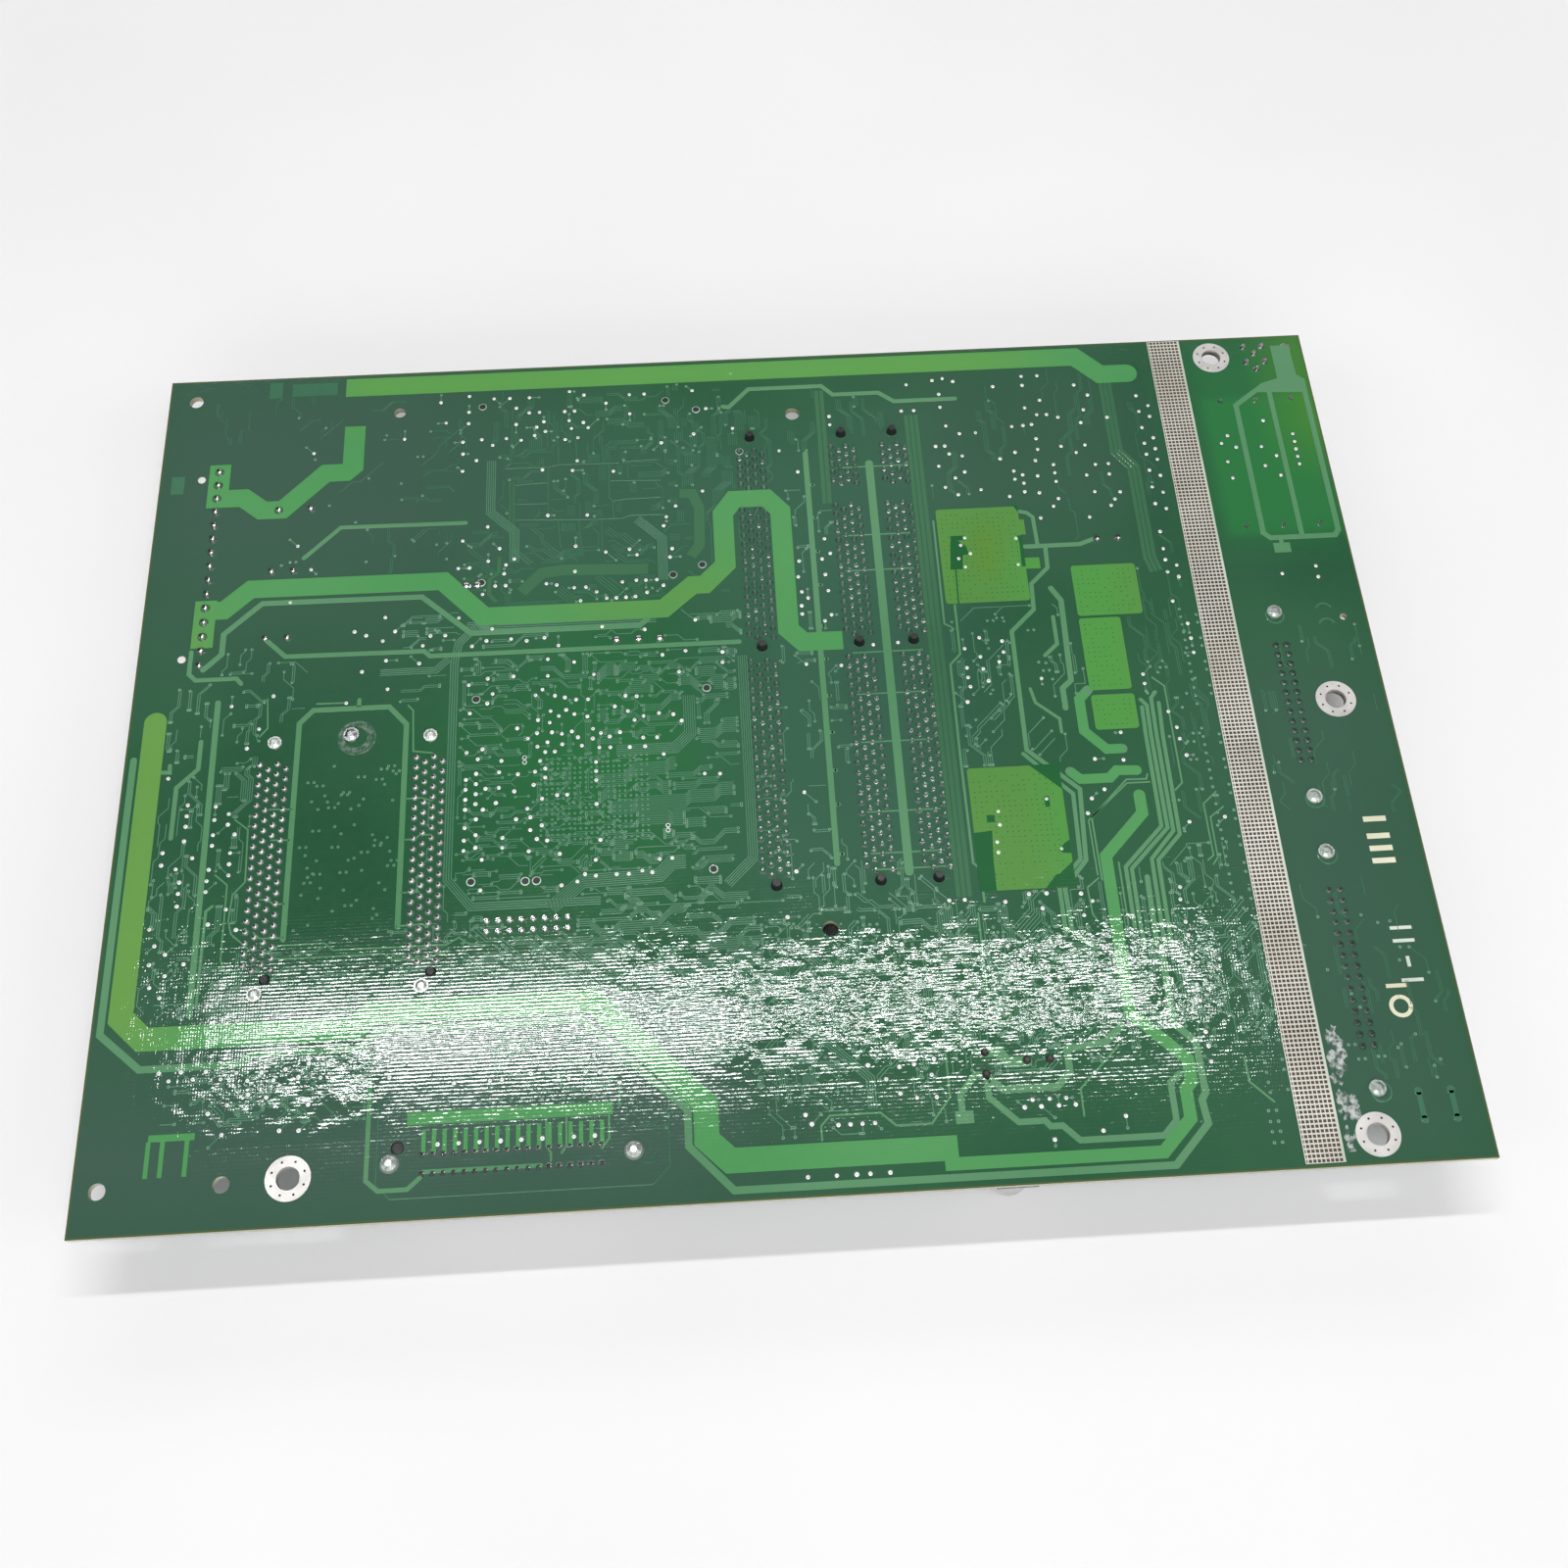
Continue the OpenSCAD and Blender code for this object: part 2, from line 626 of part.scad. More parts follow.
// sleeved can: a rolled groove near the seal and a shallow dish at the far end
module can(d, h) rotate_extrude($fn = 64) polygon([[0, 0], [d / 2 - 0.6, 0], [d / 2, 0.7], [d / 2, 2],
    [d / 2 - 0.5, 2.6], [d / 2, 3.2], [d / 2, h - 0.5], [d / 2 - 0.5, h], [d / 2 - 1, h],
    [d / 2 - 1.3, h - 0.3], [0, h - 0.3]]);
module bulk_can() color("#20252b") hang(bulk_at) can(bulk_can_d, rest_h);
module small_cans() color("#20252b") for (p = small_cans_at) hang(p) can(small_can_d, rest_h);
can_lead_gap = 5.2;
bulk_lead_gap = 7.8;
lead_joint_d = 1.9;
module can_leads() {
    color("#c9ccc9") {
        for (s = [-0.5, 0.5]) stand(bulk_at + [s * bulk_lead_gap, 0]) joint(lead_joint_d);
        for (p = small_cans_at, s = [-0.5, 0.5]) stand(p + [s * can_lead_gap, 0]) joint(lead_joint_d);
    }
}
edge_base_side = edge_can_d + 0.3;
edge_base_h = 1.2;
edge_at = [mid(45.9), edge_base_side / 2 + 0.05];
edge_corner = 2.4;
module edge_can_base() {
    color("#26282b") hang(edge_at) difference() {
        block(edge_base_side, edge_base_side, edge_base_h);
        // two cut corners mark the positive side
        for (s = [-1, 1]) translate([-edge_base_side / 2, s * edge_base_side / 2, -1]) rotate([0, 0, 45])
            block(edge_corner, edge_corner, edge_base_h + 2);
    }
}
module edge_can() {
    color("#b9bbbb") hang(edge_at) translate([0, 0, edge_base_h]) rotate_extrude($fn = 64)
        polygon([[0, 0], [edge_can_d / 2 - 0.9, 0], [edge_can_d / 2 - 0.9, 0.5], [edge_can_d / 2 - 0.1, 1.1],
            [edge_can_d / 2, edge_can_h - edge_base_h - 0.7], [edge_can_d / 2 - 0.7, edge_can_h - edge_base_h],
            [0, edge_can_h - edge_base_h]]);
}

// ---- Chips and power parts ----
processor_at = [mid(-38.9), 92.5];
processor_h = 2.4;
processor_base_h = 1.2;
processor_rim = 3.5;
module processor() {
    color("#3c3f42") hang(processor_at) {
        block(processor_side, processor_side, processor_base_h);
        translate([0, 0, processor_base_h - eps])
            pill(processor_side - 2 * processor_rim, processor_side - 2 * processor_rim,
                processor_h - processor_base_h, 1.5);
    }
}
controller_at = [mid(-42.2), 176.3];
controller_h = 3.4;
controller_lift = 0.4;
lead_t = 0.2;
lead_w = 0.3;
lead_rise = 1.6;
module controller() {
    color("#232427") hang(controller_at) difference() {
        translate([0, 0, controller_lift])
            block(controller_side, controller_side, controller_h - controller_lift);
        // round mark in the corner of the first lead
        translate([controller_side / 2 - 3, controller_side / 2 - 3, controller_h - 0.2])
            cylinder(d = 2, h = 1);
    }
}
lead_pitch = 0.65;
lead_run = 1.3;
module lead_row(side, off) {
    count = floor((side - 2) / lead_pitch);
    for (i = [0:count - 1])
        translate([(i - (count - 1) / 2) * lead_pitch, off + lead_run / 2, 0]) {
            block(lead_w, lead_run, lead_t);
            translate([0, -lead_run / 2 + lead_t / 2, 0]) block(lead_w, lead_t, lead_rise);
        }
}
module controller_leads() {
    color("#c9ccc9") hang(controller_at)
        for (a = [0:90:270]) rotate([0, 0, a]) lead_row(controller_side, controller_side / 2);
}
chip_places = [for (x = [mid(58.1), mid(82.1)], y = [195, 181]) [x, y]];
chip_size = [18.4, 10.2, 1.1];
chip_lift = 0.15;
chip_lead = [0.9, 0.4];
chip_leads_side = 13;
module memory_chips() {
    color("#232427") for (p = chip_places) hang(p)
        translate([0, 0, chip_lift]) block(chip_size[0], chip_size[1], chip_size[2]);
}
module chip_leads() {
    color("#c9ccc9") for (p = chip_places, s = [-1, 1]) hang(p) rotate([0, 0, 90 * s])
        for (i = [0:chip_leads_side - 1])
            translate([(i - (chip_leads_side - 1) / 2) * lead_pitch, (chip_size[0] + chip_lead[0]) / 2, 0])
                block(lead_w, chip_lead[0], chip_lead[1]);
}
regulator_at = [[mid(56.1), 152.4], [mid(56.4), 79.7]];
regulator_body = [10, 9, 4.3];
regulator_tab = [4, 1.3];
regulator_lead = [0.8, 4, 0.5];
regulator_pitch = 1.7;
regulator_lift = 0.2;
module regulators() {
    back = regulator_body[1] / 2;
    color("#2b2c2f") for (p = regulator_at) hang(p) {
        translate([0, 0, regulator_lift]) block(regulator_body[0], regulator_body[1], regulator_body[2]);
        // soldered tab at the back and five leads at the front
        translate([0, back + regulator_tab[0] / 2 - eps, 0])
            block(regulator_body[0], regulator_tab[0], regulator_tab[1]);
        for (i = [-2:2]) translate([i * regulator_pitch, eps - back - regulator_lead[1] / 2, 0])
            block(regulator_lead[0], regulator_lead[1], regulator_lead[2]);
    }
}
inductor_at = [[mid(84.7), 140.9], [mid(81.9), 123.3]];
inductor_side = 12.4;
inductor_base_h = 2.2;
inductor_core_h = 3.8;
inductor_cap_h = 0.9;
inductor_waist = 0.8;
module power_inductors() {
    color("#4a4540") for (p = inductor_at) hang(p) {
        pill(inductor_side, inductor_side, inductor_base_h, 2);
        translate([0, 0, inductor_base_h - eps])
            cylinder(d = inductor_side - 2 * inductor_waist, h = inductor_core_h + 2 * eps);
        translate([0, 0, inductor_base_h + inductor_core_h])
            cylinder(d = inductor_side - inductor_waist / 2, h = inductor_cap_h);
    }
}
choke_at = [mid(49.2), 25.8];
choke_leads = [[-6.6, 2.4], [-6.8, -2.3], [2.1, 0.2], [7, 0.2]];
choke_rim_d = 17;
choke_core_d = 13;
choke_rim_h = 1.5;
choke_core_h = 8;
module line_choke() {
    color("#4a4540") hang(choke_at) {
        for (z = [0, choke_rim_h + choke_core_h])
            translate([0, 0, z]) cylinder(d = choke_rim_d, h = choke_rim_h);
        translate([0, 0, choke_rim_h - eps]) cylinder(d = choke_core_d, h = choke_core_h + 2 * eps);
    }
    color("#c9ccc9") for (p = choke_leads) stand(choke_at + p) joint(lead_joint_d);
}
filter_at = [mid(-28.3), 133.3];
filter_pitch = 5.08;
filter_size = [5, 7];
module three_pin_filter() {
    color("#8a6a3a") hang(filter_at) pill(3 * filter_pitch, filter_size[0], filter_size[1], 1);
    color("#c9ccc9") for (i = [-1:1]) stand(filter_at + [i * filter_pitch, 0]) joint(lead_joint_d, 0.7);
}
// small ceramic capacitors beside the chips and sockets
ceramic = [3.2, 1.6, 1.3];
// rows: place from the middle of the width, place from the front, count, turn
ceramic_rows = [[-62, 118, 7, 0], [-62, 66.8, 7, 0], [-16, 78, 6, 90], [-63, 196, 7, 0], [14, 84, 8, 90],
    [54, 112, 4, 0], [64, 50, 4, 0], [-94, 62, 5, 90]];
ceramic_step = 7;
module chip_capacitors() {
    color("#b79a72") for (r = ceramic_rows, i = [0:r[2] - 1])
        hang([mid(r[0]), r[1]] + i * ceramic_step * (r[3] == 0 ? [1, 0] : [0, 1]))
            rotate([0, 0, r[3]]) block(ceramic[0], ceramic[1], ceramic[2]);
}

// ---- Board ----
module hole(p, d) translate([bx(p[0]), by(p[1]), z_under - 1]) cylinder(d = d, h = board_t + 2);
module pcb() {
    color("#2f6b4a") difference() {
        translate([-board_w / 2, -board_d / 2, z_under]) cube([board_w, board_d, board_t]);
        for (p = mount_holes) hole(p, mount_hole_d);
        for (p = guide_holes) hole(p, guide_hole_d);
        for (p = jack_holes) hole(p, jack_hole_d);
        for (p = tooling_holes) hole(p, p[2]);
        for (x = memory_x, y = memory_pegs) hole([x, memory_mid + y], peg_d + 2 * peg_gap);
        for (x = expansion_x)
            hole([x + expansion_peg[0], expansion_peg[1]], expansion_peg_d + 2 * peg_gap);
        for (s = [-1, 1])
            hole([power_x + power_peg_off, power_mid + s * (power_span / 2 - power_peg_in)],
                power_peg_d + 2 * peg_gap);
        hole(ribbon_mid + [ribbon_peg[0] - ribbon_lock_gap / 2, ribbon_peg[1]], ribbon_peg_d + 2 * peg_gap);
    }
}

// ---- Raised conductors on the solder face ----
wide = 5.2;
narrow = 2.7;
loop_w = 2.4;
front_join = 31.9;
power_track_paths = [
    [5.6, [[44.6, -4.1], [-59.8, -4.1], [-53.8, -10.1], [-47, -10.1]]],
    [wide, [[47.6, 199.5], [47.6, 187], [46, 185.4], [41, 185.4], [31, 175], [26, 175], [21.2, 179],
        [12.1, 179]]],
    [wide, [[14.7, 189.3], [14.7, 176.4]]],
    [wide, [[14.7, 149.5], [14.7, 136.4]]],
    [5, concat([[12.1, 146.6], [19.1, 146.6], [25.1, 152.2]],
        middle([[-75, 152], [-65, 141.5], [-22, 141.4], [-15, 147.6], [-12, 147.6], [-6.8, 153], [-6.8, 167.9],
            [-3.9, 172], [4.1, 172], [7.4, 168], [7.4, 134], [10.7, 130.3], [20.1, 130.3]]))],
    [wide, concat([[6, 117], [6, 46], [11.1, 41], [56.1, 41], [59.1, 44.3], [106.1, 44.3], [129.4, 20.5],
        [129.4, 13], [134.1, 8.4]], middle([[front_join + 3, 8.4]]))],
    [narrow, middle([[front_join, 5.1], [77.2, 5.1], [83.8, 11.7], [83.8, 18], [85.2, 19.5], [85.2, 24.3],
        [74.6, 35], [74.6, 71.5], [84.3, 81.5], [84.3, 86]])],
    [loop_w, middle([[75.6, 112.9], [74, 111.3], [74, 103], [78.6, 98], [82.2, 98]])],
    [loop_w, middle([[69.4, 92.8], [71.5, 90.7], [78.2, 90.7], [80.1, 92.5], [84.6, 92.3]])]];
track_ends = [[[-47, -10.1], 5.6], [[6, 117], wide], [[mid(84.3), 86], narrow], [[mid(84.6), 92.3], loop_w]];
module power_tracks() {
    color("#69a565") difference() {
        union() {
            for (t = power_track_paths) track(t[1], t[0]);
            for (e = track_ends) dot(e[0], e[1]);
        }
        // the mask stops short of each joint that stands on a conductor
        for (i = [0:power_count - 1])
            mask_opening([power_x, power_mid + i * power_pitch - power_span / 2], power_joint_d);
        for (s = [-0.5, 0.5]) mask_opening(bulk_at + [s * bulk_lead_gap, 0], lead_joint_d);
        for (x = memory_x, y = memory_pegs) mask_opening([x, memory_mid + y], peg_d + 2 * peg_gap);
    }
}
// areas of copper: left side from the middle of the width, front side, width, depth
patch_boxes = [[45.6, 138.9, 20.4, 27.2], [76.8, 133.8, 15.7, 14.2], [76.8, 113.5, 10, 19.6],
    [76.8, 103.1, 10.2, 9.1], [45.8, 64.6, 21.2, 30.2]];
patch_gap = 0.5;
patch_r = 0.8;
module copper_patches() {
    color("#6aa04a") for (b = patch_boxes) {
        // an area stops short of the bare strip
        w = min(b[2], bx(strip_x) - strip_w / 2 - patch_gap - b[0]);
        translate([b[0] + w / 2, by(b[1]) + b[3] / 2, z_top]) pill(w, b[3], copper_t, patch_r);
    }
}

// ---- Bare rings and the contact strip ----
module mount_rings() {
    color("#d2d0ca") for (p = mount_holes) stand(p) difference() {
        cylinder(d = mount_ring_d, h = copper_t, $fn = 64);
        translate([0, 0, -1]) cylinder(d = mount_hole_d, h = 2);
    }
}
strip_x = -36;
strip_front = 0.9;
strip_back = -0.4;
strip_base_t = 0.06;
strip_line = 0.3;
module contact_strip() {
    y0 = by(strip_front);
    len = by(strip_back) - y0;
    pitch = (strip_w - strip_line) / strip_cells;
    color("#c9c2b2") translate([bx(strip_x), y0, z_top]) {
        translate([-strip_w / 2, 0, 0]) cube([strip_w, len, strip_base_t]);
        for (i = [0:strip_cells])
            translate([-strip_w / 2 + i * pitch, 0, 0]) cube([strip_line, len, copper_t]);
    }
}

pcb();
power_tracks();
copper_patches();
contact_strip();
mount_rings();
memory_socket(memory_x[0]);  // memory_socket_1
memory_socket(memory_x[1]);  // memory_socket_2
memory_socket(memory_x[2]);  // memory_socket_3
memory_contacts(memory_x[0]);  // memory_contacts_1
memory_contacts(memory_x[1]);  // memory_contacts_2
memory_contacts(memory_x[2]);  // memory_contacts_3
latch(memory_x[0], 1);  // latch_1_back
latch(memory_x[0], -1);  // latch_1_front
latch(memory_x[1], 1);  // latch_2_back
latch(memory_x[1], -1);  // latch_2_front
latch(memory_x[2], 1);  // latch_3_back
latch(memory_x[2], -1);  // latch_3_front
memory_solder(memory_x[0]);  // memory_solder_1
memory_solder(memory_x[1]);  // memory_solder_2
memory_solder(memory_x[2]);  // memory_solder_3
expansion_socket(expansion_x[0]);  // expansion_socket_1
expansion_socket(expansion_x[1]);  // expansion_socket_2
expansion_contacts(expansion_x[0]);  // expansion_contacts_1
expansion_contacts(expansion_x[1]);  // expansion_contacts_2
expansion_solder();
expansion_locks();
ribbon_shell();
ribbon_body();
ribbon_contacts();
ribbon_solder();
ribbon_locks();
power_header();
power_pins();
small_header();
small_pins();
cable_socket(upper_mid, upper_rows);  // upper_cable_socket
cable_socket(lower_mid, lower_rows);  // lower_cable_socket
cable_pins();
cable_locks();
power_module();
module_pins();
relay();
relay_pins();
card_standoff();
bulk_can();
small_cans();
can_leads();
edge_can();
edge_can_base();
processor();
controller();
controller_leads();
memory_chips();
chip_leads();
regulators();
power_inductors();
line_choke();
three_pin_filter();
chip_capacitors();
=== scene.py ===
"""Looks of the printer formatter board: mask, fine tracks, vias, joints, marks, light and camera."""
import json
import math
import random

import bpy
from mathutils import Euler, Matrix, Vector


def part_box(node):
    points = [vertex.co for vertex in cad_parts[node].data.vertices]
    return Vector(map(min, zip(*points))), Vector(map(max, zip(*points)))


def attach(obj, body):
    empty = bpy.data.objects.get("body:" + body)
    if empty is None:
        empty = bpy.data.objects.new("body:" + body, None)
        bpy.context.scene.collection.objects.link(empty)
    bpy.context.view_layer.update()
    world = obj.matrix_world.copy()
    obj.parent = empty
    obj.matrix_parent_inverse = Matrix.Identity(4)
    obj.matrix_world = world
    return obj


MM = 0.001  # metres in a millimetre
BODY = "board"
WAVE_PERIOD = 0.314  # a wave texture of scale 1 repeats after this length

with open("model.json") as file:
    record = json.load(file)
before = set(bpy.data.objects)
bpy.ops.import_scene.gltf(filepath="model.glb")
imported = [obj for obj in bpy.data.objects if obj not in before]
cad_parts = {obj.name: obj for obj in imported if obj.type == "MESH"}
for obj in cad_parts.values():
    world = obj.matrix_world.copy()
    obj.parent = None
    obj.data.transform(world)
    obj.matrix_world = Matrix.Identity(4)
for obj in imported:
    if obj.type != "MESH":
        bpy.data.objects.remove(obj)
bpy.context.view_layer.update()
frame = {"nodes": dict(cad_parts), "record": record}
nodes = frame["nodes"]

pcb_low, pcb_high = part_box("pcb")
TOP = pcb_high[2] / MM
UNDER = pcb_low[2] / MM
BOARD_W = (pcb_high[0] - pcb_low[0]) / MM
BOARD_D = (pcb_high[1] - pcb_low[1]) / MM

# The layout below is in millimetres from a zero that lies this far from the board's front left corner.
LAYOUT_ZERO = (0.1, -0.5)
# How far fine and wider conductors stand above the board
FINE_RISE = 0.035
TRACK_RISE = 0.06
# Pieces that overlap a track stop just below its top, so that no two faces share a plane
LOWER_RISE = TRACK_RISE - 0.004
FINE_WIDTH = 0.23
THIN_WIDTH = 0.2
# How often a fine or thin track ends in a small ringed hole
FINE_ENDS = 0.62
THIN_ENDS = 0.12
# Outer and inner radius of a small ringed hole, and of one in the ball grid
HOLE_RING = (0.36, 0.15)
GRID_RING = (0.3, 0.13)


def row(x, y, z):
    """A layout place and a height in millimetres as a point of the row frame in metres."""
    return ((x + LAYOUT_ZERO[0] - BOARD_W / 2) * MM, (y + LAYOUT_ZERO[1] - BOARD_D / 2) * MM, z * MM)


def layout(x, y):
    """A place of the row frame in metres as a layout place in millimetres."""
    return x / MM + BOARD_W / 2 - LAYOUT_ZERO[0], y / MM + BOARD_D / 2 - LAYOUT_ZERO[1]


# ---- Materials ----

class Finish:
    """A material's node tree, with short calls for the nodes that the finishes share."""

    def __init__(self, name):
        self.material = bpy.data.materials.new(name)
        self.material.use_nodes = True
        self.tree = self.material.node_tree
        self.shader = self.tree.nodes["Principled BSDF"]
        self.place = self.tree.nodes.new("ShaderNodeTexCoord").outputs["Object"]

    def node(self, kind, **values):
        made = self.tree.nodes.new(kind)
        for key, value in values.items():
            setattr(made, key, value)
        return made

    def feed(self, socket, value):
        if hasattr(value, "links"):
            self.tree.links.new(value, socket)
        elif isinstance(value, (tuple, list)) and len(value) == 3 and len(socket.default_value) == 4:
            socket.default_value = (*value, 1.0)
        else:
            socket.default_value = value

    def noise(self, scale, detail=2.0, stretch=(1, 1, 1)):
        mapping = self.node("ShaderNodeMapping")
        mapping.inputs["Scale"].default_value = stretch
        self.feed(mapping.inputs["Vector"], self.place)
        made = self.node("ShaderNodeTexNoise")
        made.inputs["Scale"].default_value = scale
        made.inputs["Detail"].default_value = detail
        self.feed(made.inputs["Vector"], mapping.outputs["Vector"])
        return made.outputs["Fac"]

    def math(self, operation, a, b=0.0, c=0.0):
        made = self.node("ShaderNodeMath", operation=operation)
        for socket, value in zip(made.inputs, (a, b, c)):
            self.feed(socket, value)
        return made.outputs[0]

    def span(self, value, low, high, to_low=0.0, to_high=1.0):
        made = self.node("ShaderNodeMapRange")
        for key, given in (("Value", value), ("From Min", low), ("From Max", high),
                           ("To Min", to_low), ("To Max", to_high)):
            self.feed(made.inputs[key], given)
        return made.outputs["Result"]

    def mix(self, factor, a, b):
        # sockets 6 and 7 and output 2 are a mix node's colours
        made = self.node("ShaderNodeMix", data_type="RGBA")
        self.feed(made.inputs[0], factor)
        self.feed(made.inputs[6], a)
        self.feed(made.inputs[7], b)
        return made.outputs[2]

    def axis(self, which):
        made = self.node("ShaderNodeSeparateXYZ")
        self.feed(made.inputs[0], self.place)
        return made.outputs[which]

    def bump(self, height, distance, strength=1.0):
        made = self.node("ShaderNodeBump")
        made.inputs["Strength"].default_value = strength
        made.inputs["Distance"].default_value = distance
        self.feed(made.inputs["Height"], height)
        return made.outputs["Normal"]

    def set(self, **values):
        for key, value in values.items():
            self.feed(self.shader.inputs[key.replace("_", " ")], value)
        return self.material


def plain(name, colour, other, rough, metal=0.0, grain=900.0, relief=0.00002):
    """A finish with two close colours, uneven gloss and a fine grain."""
    f = Finish(name)
    cloud = f.noise(grain / 12, 3.0)
    fine = f.noise(grain, 2.0)
    return f.set(Base_Color=f.mix(f.span(cloud, 0.35, 0.65), colour, other),
                 Roughness=f.span(fine, 0.3, 0.7, rough * 0.8, rough * 1.2),
                 Normal=f.bump(fine, relief, 0.6), Metallic=metal)


# Where the mask ripples over crowded circuits: middle, size and softness of each zone, and how much
RIPPLE_ZONES = [((190, 44), (112, 30), 5, 1.0), ((38, 29), (46, 15), 4, 0.9),
                ((150, 52), (90, 20), 6, 0.45),
                ((110, 104), (70, 66), 8, 0.2), ((16, 70), (24, 60), 4, 0.4)]
# Least and most of the fine ripple and of the broader swell
RIPPLE_LOW = 3.4
RIPPLE_HIGH = 15.0
SWELL_LOW = 1.5
SWELL_HIGH = 22.0
# The glass cloth: direction and pitch of its threads in millimetres, and how strongly each shows
THREADS = (("Y", 0.82, 1.0), ("X", 0.58, 0.7))
CLOTH = 0.5
# The darker rim of the top face starts and is full at these distances from the edge
RIM_START = 0.5
RIM_FULL = 0.25


def zone_cover(f, centre, size, soft):
    """One inside a box on the board, nothing outside, with soft edges."""
    parts = []
    for which in (0, 1):
        middle = row(*centre, 0)[which]
        away = f.math("ABSOLUTE", f.math("SUBTRACT", f.axis(which), middle))
        parts.append(f.span(away, (size[which] / 2 + soft) * MM, (size[which] / 2 - soft) * MM))
    return f.math("MULTIPLY", parts[0], parts[1])


def weave(f, depth):
    """Relief of the glass cloth under the mask, with coarser ripple over crowded circuits."""
    threads = []
    for direction, pitch, _ in THREADS:
        wave = f.node("ShaderNodeTexWave", bands_direction=direction)
        wave.inputs["Scale"].default_value = WAVE_PERIOD / (pitch * MM)
        wave.inputs["Distortion"].default_value = 0.8
        wave.inputs["Detail"].default_value = 1.0
        wave.inputs["Detail Scale"].default_value = 0.5
        f.feed(wave.inputs["Vector"], f.place)
        threads.append(wave.outputs["Fac"])
    second = f.math("MULTIPLY", threads[1], THREADS[1][2])
    cloth = f.math("MULTIPLY", f.math("ADD", threads[0], second), CLOTH)
    crowd = 0.0
    for centre, size, soft, amount in RIPPLE_ZONES:
        crowd = f.math("MAXIMUM", crowd, f.math("MULTIPLY", zone_cover(f, centre, size, soft), amount))
    patchy = f.math("MULTIPLY", crowd, f.span(f.noise(110.0, 2.0), 0.36, 0.56))
    ripple = f.math("MULTIPLY", f.noise(440.0, 3.0), f.span(patchy, 0.0, 1.0, RIPPLE_LOW, RIPPLE_HIGH))
    swell = f.math("MULTIPLY", f.noise(190.0, 1.0), f.span(crowd, 0.0, 1.0, SWELL_LOW, SWELL_HIGH))
    return f.bump(f.math("ADD", cloth, f.math("ADD", ripple, swell)), depth)


def mask(name, deep, light, rough=0.06, depth=0.000009, zones=(), edge=None):
    """Solder mask: colour that drifts over the board, soft zones of another tint and woven relief."""
    f = Finish(name)
    drift = f.span(f.noise(14.0, 2.0), 0.35, 0.65)
    speck = f.span(f.noise(420.0, 3.0), 0.3, 0.7)
    colour = f.mix(drift, deep, light)
    colour = f.mix(f.math("MULTIPLY", speck, 0.25), colour, light)
    for tint, amount, centre, size, soft in zones:
        colour = f.mix(f.math("MULTIPLY", zone_cover(f, centre, size, soft), amount), colour, tint)
    if edge:
        geometry = f.node("ShaderNodeNewGeometry")
        split = f.node("ShaderNodeSeparateXYZ")
        f.feed(split.inputs[0], geometry.outputs["Normal"])
        side = f.span(f.math("ABSOLUTE", split.outputs[2]), 0.9, 0.5)
        rim = []
        for which, full in ((0, BOARD_W), (1, BOARD_D)):
            away = f.math("ABSOLUTE", f.axis(which))
            rim.append(f.span(away, (full / 2 - RIM_START) * MM, (full / 2 - RIM_FULL) * MM))
        colour = f.mix(f.math("MAXIMUM", rim[0], rim[1]), colour, RIM)
        fibre = f.span(f.noise(1400.0, 3.0, (1, 1, 6)), 0.3, 0.7)
        colour = f.mix(side, colour, f.mix(fibre, edge[0], edge[1]))
    gloss = f.span(f.noise(60.0, 3.0), 0.3, 0.7, rough * 0.75, rough * 1.3)
    return f.set(Base_Color=colour, Roughness=gloss, Normal=weave(f, depth), IOR=1.5)


GREEN_DEEP = (0.023, 0.096, 0.046)
GREEN_MID = (0.038, 0.128, 0.064)
TEAL = (0.060, 0.122, 0.090)
BRIGHT = (0.034, 0.215, 0.062)
GREY_GREEN = (0.058, 0.140, 0.098)
YELLOW_GREEN = (0.085, 0.27, 0.035)
RIM = (0.10, 0.13, 0.045)
LAMINATE = ((0.40, 0.40, 0.27), (0.55, 0.53, 0.40))

MASK = mask("solder_mask", GREEN_DEEP, GREEN_MID, zones=[
    (TEAL, 0.85, (35, 185), (110, 90), 30),
    (TEAL, 0.95, (60, 15), (170, 50), 25),
    (TEAL, 0.55, (215, 185), (70, 60), 20),
    (TEAL, 0.65, (272, 60), (45, 120), 15),
    (BRIGHT, 0.55, (110, 105), (60, 60), 25),
    (GREY_GREEN, 0.6, (166, 128), (60, 130), 14), (GREY_GREEN, 0.5, (108, 172), (62, 50), 12),
    (BRIGHT, 0.45, (276, 184), (38, 60), 9), (BRIGHT, 0.6, (277, 176), (28, 42), 1.6),
    (YELLOW_GREEN, 0.7, (290, 200), (12, 44), 9),
], edge=LAMINATE)
MASK_TRACK = mask("mask_over_track", (0.080, 0.310, 0.104), (0.103, 0.345, 0.120), zones=[
    ((0.19, 0.36, 0.06), 0.8, (6, 90), (14, 110), 12),
    ((0.17, 0.40, 0.05), 0.55, (130, 212), (180, 12), 12),
    ((0.15, 0.33, 0.06), 0.6, (122, 146), (44, 16), 12)])
MASK_PATCH = mask("mask_over_patch", (0.094, 0.268, 0.062), (0.116, 0.305, 0.072), zones=[
    ((0.13, 0.27, 0.035), 0.5, (203, 154), (7, 14), 3),
    ((0.09, 0.34, 0.075), 0.8, (222, 110), (26, 90), 6)])
MASK_FINE = mask("mask_over_fine_track", (0.075, 0.215, 0.125), (0.125, 0.275, 0.175))
MASK_THIN = mask("mask_over_thin_track", (0.045, 0.155, 0.085), (0.07, 0.195, 0.115))
MASK_BAND = mask("mask_over_band", (0.048, 0.150, 0.076), (0.066, 0.185, 0.095))
MASK_PLAIN = mask("mask_between", (0.016, 0.115, 0.034), (0.026, 0.135, 0.048))

